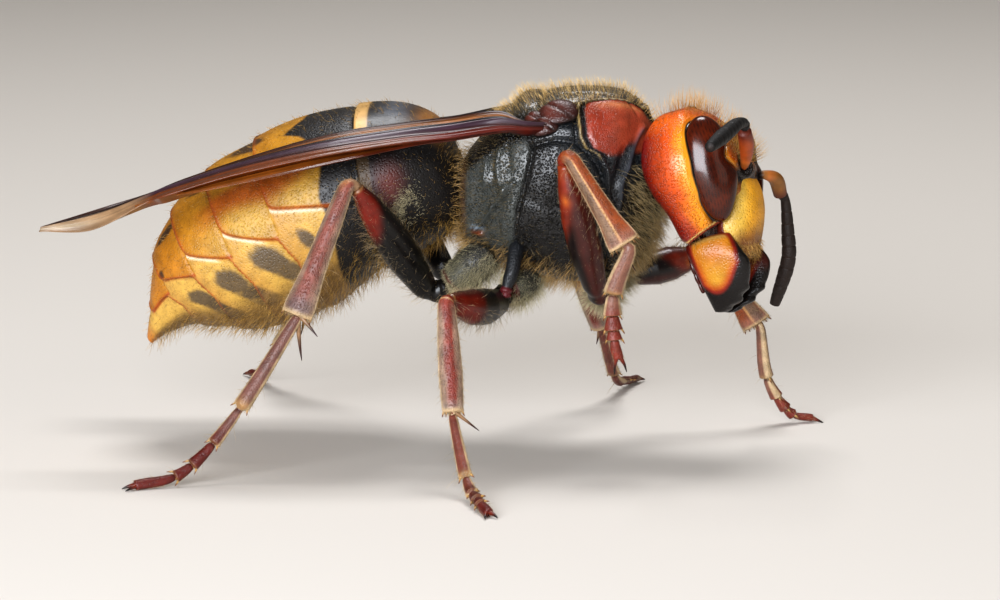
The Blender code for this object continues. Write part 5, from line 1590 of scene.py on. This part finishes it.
def grow(name, surface, count, length, weight, stand, lie, colours, seed, half=0.006, stray=0.22,
         sag=0.0, short=False):
    """Root count hairs on a grid. Length in mm, weight, stand (0 lies, 1 stands) and lie are grids."""
    global hair_triangles
    rng = np.random.default_rng(seed)
    points, normals = surface["points"], surface["normals"]
    rows, columns = points.shape[:2]
    down = points[1:] - points[:-1]
    across = (np.roll(points, -1, axis=1) - points)[:-1]
    chance = np.linalg.norm(np.cross(down, across), axis=-1) * np.broadcast_to(weight, (rows, columns))[:-1]
    chance = np.clip(chance, 0, None).ravel()
    cell = rng.choice(chance.size, size=count, p=chance / chance.sum())
    row, column = np.divmod(cell, columns)
    a, b = rng.random((2, count, 1))
    beside = (column + 1) % columns

    def pick(grid):
        grid = np.broadcast_to(np.asarray(grid, float), (rows, columns) + np.shape(grid)[2:])
        corners = [grid[row, column], grid[row, beside], grid[row + 1, column], grid[row + 1, beside]]
        here, right, below, far = (value if grid.ndim == 3 else value[:, None] for value in corners)
        return (here * (1 - b) + right * b) * (1 - a) + (below * (1 - b) + far * b) * a

    normal = unit(pick(normals))
    root = pick(points) - normal * 0.03
    stands, long = pick(stand), pick(length) * rng.uniform(0.60, 1.15, (count, 1))
    lying = pick(lie)
    lying = unit(lying - normal * np.sum(lying * normal, axis=1, keepdims=True))
    way = unit(normal * stands + lying * (1 - stands) + rng.normal(0, stray, (count, 3)))
    later = unit(way + lying * 0.25 + rng.normal(0, stray * 0.5, (count, 3)) + np.array((0, 0, -sag)))
    middle = root + way * long * 0.5
    tip = middle + later * long * 0.5
    tip[:, 2] = np.maximum(tip[:, 2], 0.01)
    middle[:, 2] = np.maximum(middle[:, 2], 0.02)
    first = unit(np.cross(way, rng.normal(0, 1, (count, 3))))
    second = np.cross(way, first)
    thick = half * rng.uniform(0.8, 1.2, (count, 1))
    each = 4 if short else 7
    vertices = np.empty((count, each, 3))
    for side in range(3):
        out = first * math.cos(side * THIRD_TURN) + second * math.sin(side * THIRD_TURN)
        vertices[:, side] = root + out * thick
        if not short:
            vertices[:, 3 + side] = middle + out * thick * 0.72
    vertices[:, -1] = tip
    one = SHORT_HAIR if short else LONG_HAIR
    triangles = (one[None] + np.arange(count)[:, None, None] * each).reshape(-1, 3)
    world = (vertices.reshape(-1, 3) + PLACE) * MM
    mesh = bare_mesh(name, world, triangles.ravel(), np.arange(len(triangles)) * 3)
    colour = pick(colours) * rng.uniform(0.75, 1.2, (count, 1))
    # Each hair is darker at its root and lighter at its tip: painted shade deep in the coat and painted light
    # on the tips.
    fade = np.array((0.65, 0.65, 0.65, 1.1) if short else (0.6, 0.6, 0.6, 0.95, 0.95, 0.95, 1.2))
    shades = np.repeat(colour[:, None], each, axis=1) * fade[None, :, None]
    keep_values(mesh, np.clip(shades, 0, 1).reshape(-1, 3), np.zeros(len(world)))
    long_spread = ((0, 0), (0.5, 0), (1, 0), (0, 0.5), (0.5, 0.5), (1, 0.5), (0.5, 1))
    spread = np.array(((0, 0), (1, 0), (0.5, 0.5), (0.5, 1)) if short else long_spread) * PATCH
    at = np.stack(((column[:, None] + b) / columns, (row[:, None] + a) / rows), axis=-1) * (1 - PATCH)
    layout = (at + spread[None]).reshape(-1, 2)
    unwrap = mesh.uv_layers.new(name="OFBake")
    unwrap.data.foreach_set("uv", layout[triangles.ravel()].astype(np.float32).ravel())
    add_piece(name, mesh, HAIR)
    hair_triangles += len(triangles)
    print(f"{name}: {count} hairs, {len(triangles)} triangles")


# %% Hair of the thorax
def thorax_coat():
    degrees, x, collar = thorax["degrees"], thorax["x"], thorax["collar"]
    back = fall(degrees, 26, 44)
    belly = step(degrees, 118, 140)
    rear = step(-thorax["seam"], 0.0, 0.4)
    backward = np.broadcast_to(np.array((-1.0, 0, 0.1)), thorax["points"].shape)
    gold = coat_of(x.shape, "#EBC482")
    grey = coat_of(x.shape, "#A8905E")
    red = step(collar, 0.3, 0.5) * fall(degrees, 68, 74) * step(degrees, 18, 24)
    dorsal = back * (1 - red) * step(x, 2.0, 2.6)
    grow("back_hair", thorax, 1500, 0.36 + 0.15 * back, dorsal, 0.90, backward, gold, 11,
         stray=0.13)
    beside_back = 0.5 * step(degrees, 30, 40) * fall(degrees, 44, 56) * (1 - red)
    grow("back_down", thorax, 5000, 0.12, dorsal + beside_back, 0.35, backward, grey, 14,
         half=0.007, short=True)
    side = (1 - back) * (1 - belly) * (1 - red) * (0.35 + 0.65 * rear) + 0.15 * red
    grow("flank_hair", thorax, 5200, 0.12 + 0.14 * rear + 0.1 * step(degrees, 95, 118), side, 0.45, backward,
         lay(grey, ("#4A4030", 0.4)), 12, short=True)
    neck = step(x, 7.7, 8.4) * step(degrees, 74, 100)
    grow("neck_hair", thorax, 2400, 0.80, neck + 0.02 * belly, 0.62, backward + (1.4, 0, -0.5),
         lay(grey, ("#C2AC80", 0.5)), 15, half=0.007, stray=0.20, sag=0.2)
    rim = step(-x, -2.0, -1.6) * (1 - belly)
    grow("belly_hair", thorax, 4200, 0.85, belly * (1 + step(-x, -3.4, -2.4)) + 0.8 * rim, 0.72, backward,
         lay(gold, ("#8A6A3C", 0.6)), 13, half=0.007, stray=0.26, sag=0.2)


thorax_coat()


# %% Hair of the gaster
def gaster_coat():
    degrees, place = gaster["degrees"], gaster["place"]
    shape = degrees.shape
    rearward = np.gradient(gaster["points"], axis=0)
    gold = mix(coat_of(shape, "#E2B860"), gaster["paint"], 0.30)
    even = 0.6 + 0.5 * step(degrees, 88, 110) - 0.3 * gaster["first"]
    grow("ring_down", gaster, 15000, 0.15 + 0.10 * step(degrees, 95, 130), even, 0.25, rearward, gold,
         21, stray=0.18, short=True)
    standing = 0.25 + 0.9 * fall(place, 1.2, 2.2) + 0.9 * step(degrees, 108, 135)
    grow("ring_bristles", gaster, 4200, 0.34 + 0.42 * step(degrees, 108, 140), standing, 0.60, rearward,
         lay(gold, ("#8A5A2A", 0.35)), 22, half=0.008, stray=0.24)
    tuft = bump(place, 2.72, 0.40) * bump(degrees, 103, 12)
    ring = np.clip(tuft - 1.3 * bump(place, 2.64, 0.20) * bump(degrees, 105, 6.5), 0, 1) ** 2
    grow("waist_tuft", gaster, 2000, 0.26, ring, 0.30, rearward, coat_of(shape, "#C2B794"), 23,
         half=0.008, stray=0.40)


gaster_coat()


# %% Hair of the head
def head_coat():
    local, near_eye = head["local"], head["near_eye"]
    x, y, z = local[..., 0], local[..., 1], local[..., 2]
    bare = step(near_eye, 0.10, 0.22) * (1 - head["nape"])
    gold = mix(coat_of(x.shape, "#E0B060"), head["paint"], 0.15)
    up = np.broadcast_to(HEAD_TURN @ np.array((0.35, 0, 1.0)), head["points"].shape)
    crown = step(z, 1.9, 2.5) * fall(-x, 1.0, 1.7)
    brow = step(x, 0.9, 1.3) * fall(np.abs(y), 1.0, 1.4) * step(z, 0.1, 0.4)
    grow("crown_hair", head, 760, 0.98, (0.5 * crown + brow) * bare, 0.85, up, gold, 31,
         half=0.005, stray=0.14)
    grow("brow_down", head, 800, 0.26, brow * bare, 0.55, up, lay(gold, ("#D9B25A", 0.5)),
         35, half=0.007, stray=0.2, short=True)
    down = np.broadcast_to(HEAD_TURN @ np.array((0.2, 0, -1.0)), head["points"].shape)
    grow("cheek_down", head, 600, 0.08, bare * (1 - crown) * (1 - brow), 0.30, down,
         mix(gold, head["paint"], 0.8), 32, half=0.005, stray=0.25, short=True)
    under = fall(z, -2.7, -2.2) * step(-x, -0.6, 0.2)
    grow("chin_hair", head, 260, 0.6, under, 0.6, down, coat_of(x.shape, "#8A6C40"), 33,
         half=0.007, stray=0.3, sag=0.3)
    part, forward = clypeus["part"], clypeus["forward"]
    down = np.broadcast_to(HEAD_TURN @ np.array((0.6, 0, -1.0)), clypeus["points"].shape)
    outside = step(forward, 0.0, 0.1)
    grow("shield_hair", clypeus, 520, 0.36, step(part, 0.70, 0.86) * outside, 0.55, down,
         coat_of(part.shape, "#DDB066"), 34, stray=0.24)
    grow("shield_down", clypeus, 900, 0.11, (0.3 + step(part, 0.6, 0.8)) * outside, 0.4, down,
         coat_of(part.shape, "#D0A85A"), 36, short=True)


head_coat()


# %% Hair of the legs
# For each part: short hairs, their length, how they stand, long hairs.
LEG_COATS = {
    "coxa": (4200, 0.22, 0.40, 900), "femur": (800, 0.15, 0.36, 240), "tibia": (1900, 0.13, 0.30, 50),
    "tarsus": (1300, 0.13, 0.36, 30),
}


def leg_coat(name, coats):
    for number, segment in enumerate(coats):
        points = segment["points"]
        segment["normals"] = unit(points - points.mean(axis=1, keepdims=True))
        part, edge = segment["part"], segment["edge"]
        shape = part.shape
        part_name = segment["name"]
        ground = "#D8CCA4" if part_name == "coxa" else "#CDB48A"
        gold = mix(coat_of(shape, ground), segment["paint"], 0.30)
        count, long, stand, bristles = LEG_COATS[part_name]
        seed = 40 + number + 10 * list(LEGS).index(name)
        weight = 0.5 + 1.4 * step(np.abs(edge), 0.75, 0.95)
        length = long + 0.10 * step(np.abs(edge), 0.8, 0.95) + 0.12 * (part_name == "femur") * step(edge,
                0.6, 0.9)
        grow(f"{part_name}_down_{name}", segment, count, length, weight, stand, segment["way"], gold,
             seed, stray=0.20, short=True)
        if bristles and (part_name, name[:4]) != ("femur", "fore"):
            under = step(-segment["normals"][..., 2], -0.2, 0.5)
            weight = 0.1 + 1.5 * under if part_name in ("coxa", "femur") else 0.2 + weight * (part < 0.9)
            grow(f"{part_name}_hair_{name}", segment, bristles, 0.40 + 0.35 * under, weight, 0.65,
                 segment["way"], gold, seed + 5, stray=0.20)


for leg_name, leg_segments in legs.items():
    leg_coat(leg_name, leg_segments)
print("hair triangles:", hair_triangles)


# %% [markdown]
# ## Stage, light and camera
# A plain pale floor curves up behind. A large soft box beside the camera, a little above it and
# to its left, and two weaker ones keep the light soft. The camera stands as in the photograph: nearly side
# on, a little above, with a long lens.

# %% Floor
def floor():
    plain = bpy.data.materials.new("pale_paper_floor")
    plain.use_nodes = True
    shader = plain.node_tree.nodes["Principled BSDF"]
    shader.inputs["Base Color"].default_value = (*linear("#D6D0C8"), 1)
    shader.inputs["Roughness"].default_value = 0.85
    profile = [(-0.45, 0.0), (0.30, 0.0)]
    profile += [(0.30 + 0.2 * math.sin(a), 0.2 - 0.2 * math.cos(a)) for a in np.linspace(0.1, math.pi / 2, 14)]
    profile += [(0.50, 0.7)]
    vertices = [(x, y, z) for x in (-0.9, 0.9) for y, z in profile]
    count = len(profile)
    faces = [(k, k + 1, k + 1 + count, k + count) for k in range(count - 1)]
    mesh = bpy.data.meshes.new("floor")
    mesh.from_pydata(vertices, [], faces)
    mesh.shade_smooth()
    mesh.materials.append(plain)
    sheet = bpy.data.objects.new("floor", mesh)
    bpy.context.scene.collection.objects.link(sheet)


floor()


# %% Lights and camera
def aim(thing, target):
    thing.rotation_euler = (Vector(target) - thing.location).to_track_quat("-Z", "Y").to_euler()


def soft_box(name, place, size, power, colour):
    light = bpy.data.lights.new(name, "AREA")
    light.shape = "RECTANGLE"
    light.size, light.size_y = size
    light.energy = power
    light.color = tuple(linear(colour))
    thing = bpy.data.objects.new(name, light)
    thing.location = Vector(place)
    bpy.context.scene.collection.objects.link(thing)
    aim(thing, (0.002, 0, 0.009))


soft_box("key_light", place=(-0.040, -0.175, 0.060), size=(0.15, 0.095), power=0.54, colour="#F4F8FF")
soft_box("fill_light", place=(0.20, -0.13, 0.09), size=(0.16, 0.16), power=0.05, colour="#FFF4E8")
soft_box("top_light", place=(0.0, 0.06, 0.20), size=(0.10, 0.07), power=0.26, colour="#FBFCFF")
world = bpy.data.worlds.new("pale_room")
bpy.context.scene.world = world
world.use_nodes = True
world.node_tree.nodes["Background"].inputs["Color"].default_value = (*linear("#E9E4DC"), 1)
world.node_tree.nodes["Background"].inputs["Strength"].default_value = 0.16

AZIMUTH, ELEVATION, DISTANCE = math.radians(6), math.radians(10), 0.2
LOOK_AT = (2.9, 0.0, 5.89)
target = Vector((np.array(LOOK_AT) + PLACE) * MM)
camera_data = bpy.data.cameras.new("camera")
camera_data.lens, camera_data.sensor_width = 180, 36
camera_data.clip_start, camera_data.clip_end = 0.005, 10
camera = bpy.data.objects.new("camera", camera_data)
bpy.context.scene.collection.objects.link(camera)
camera.location = target + DISTANCE * Vector((math.sin(AZIMUTH) * math.cos(ELEVATION),
                                              -math.cos(AZIMUTH) * math.cos(ELEVATION), math.sin(ELEVATION)))
aim(camera, target)
bpy.context.scene.camera = camera
bpy.context.scene.view_settings.view_transform = "Standard"
bpy.context.scene.view_settings.look = "Medium High Contrast"
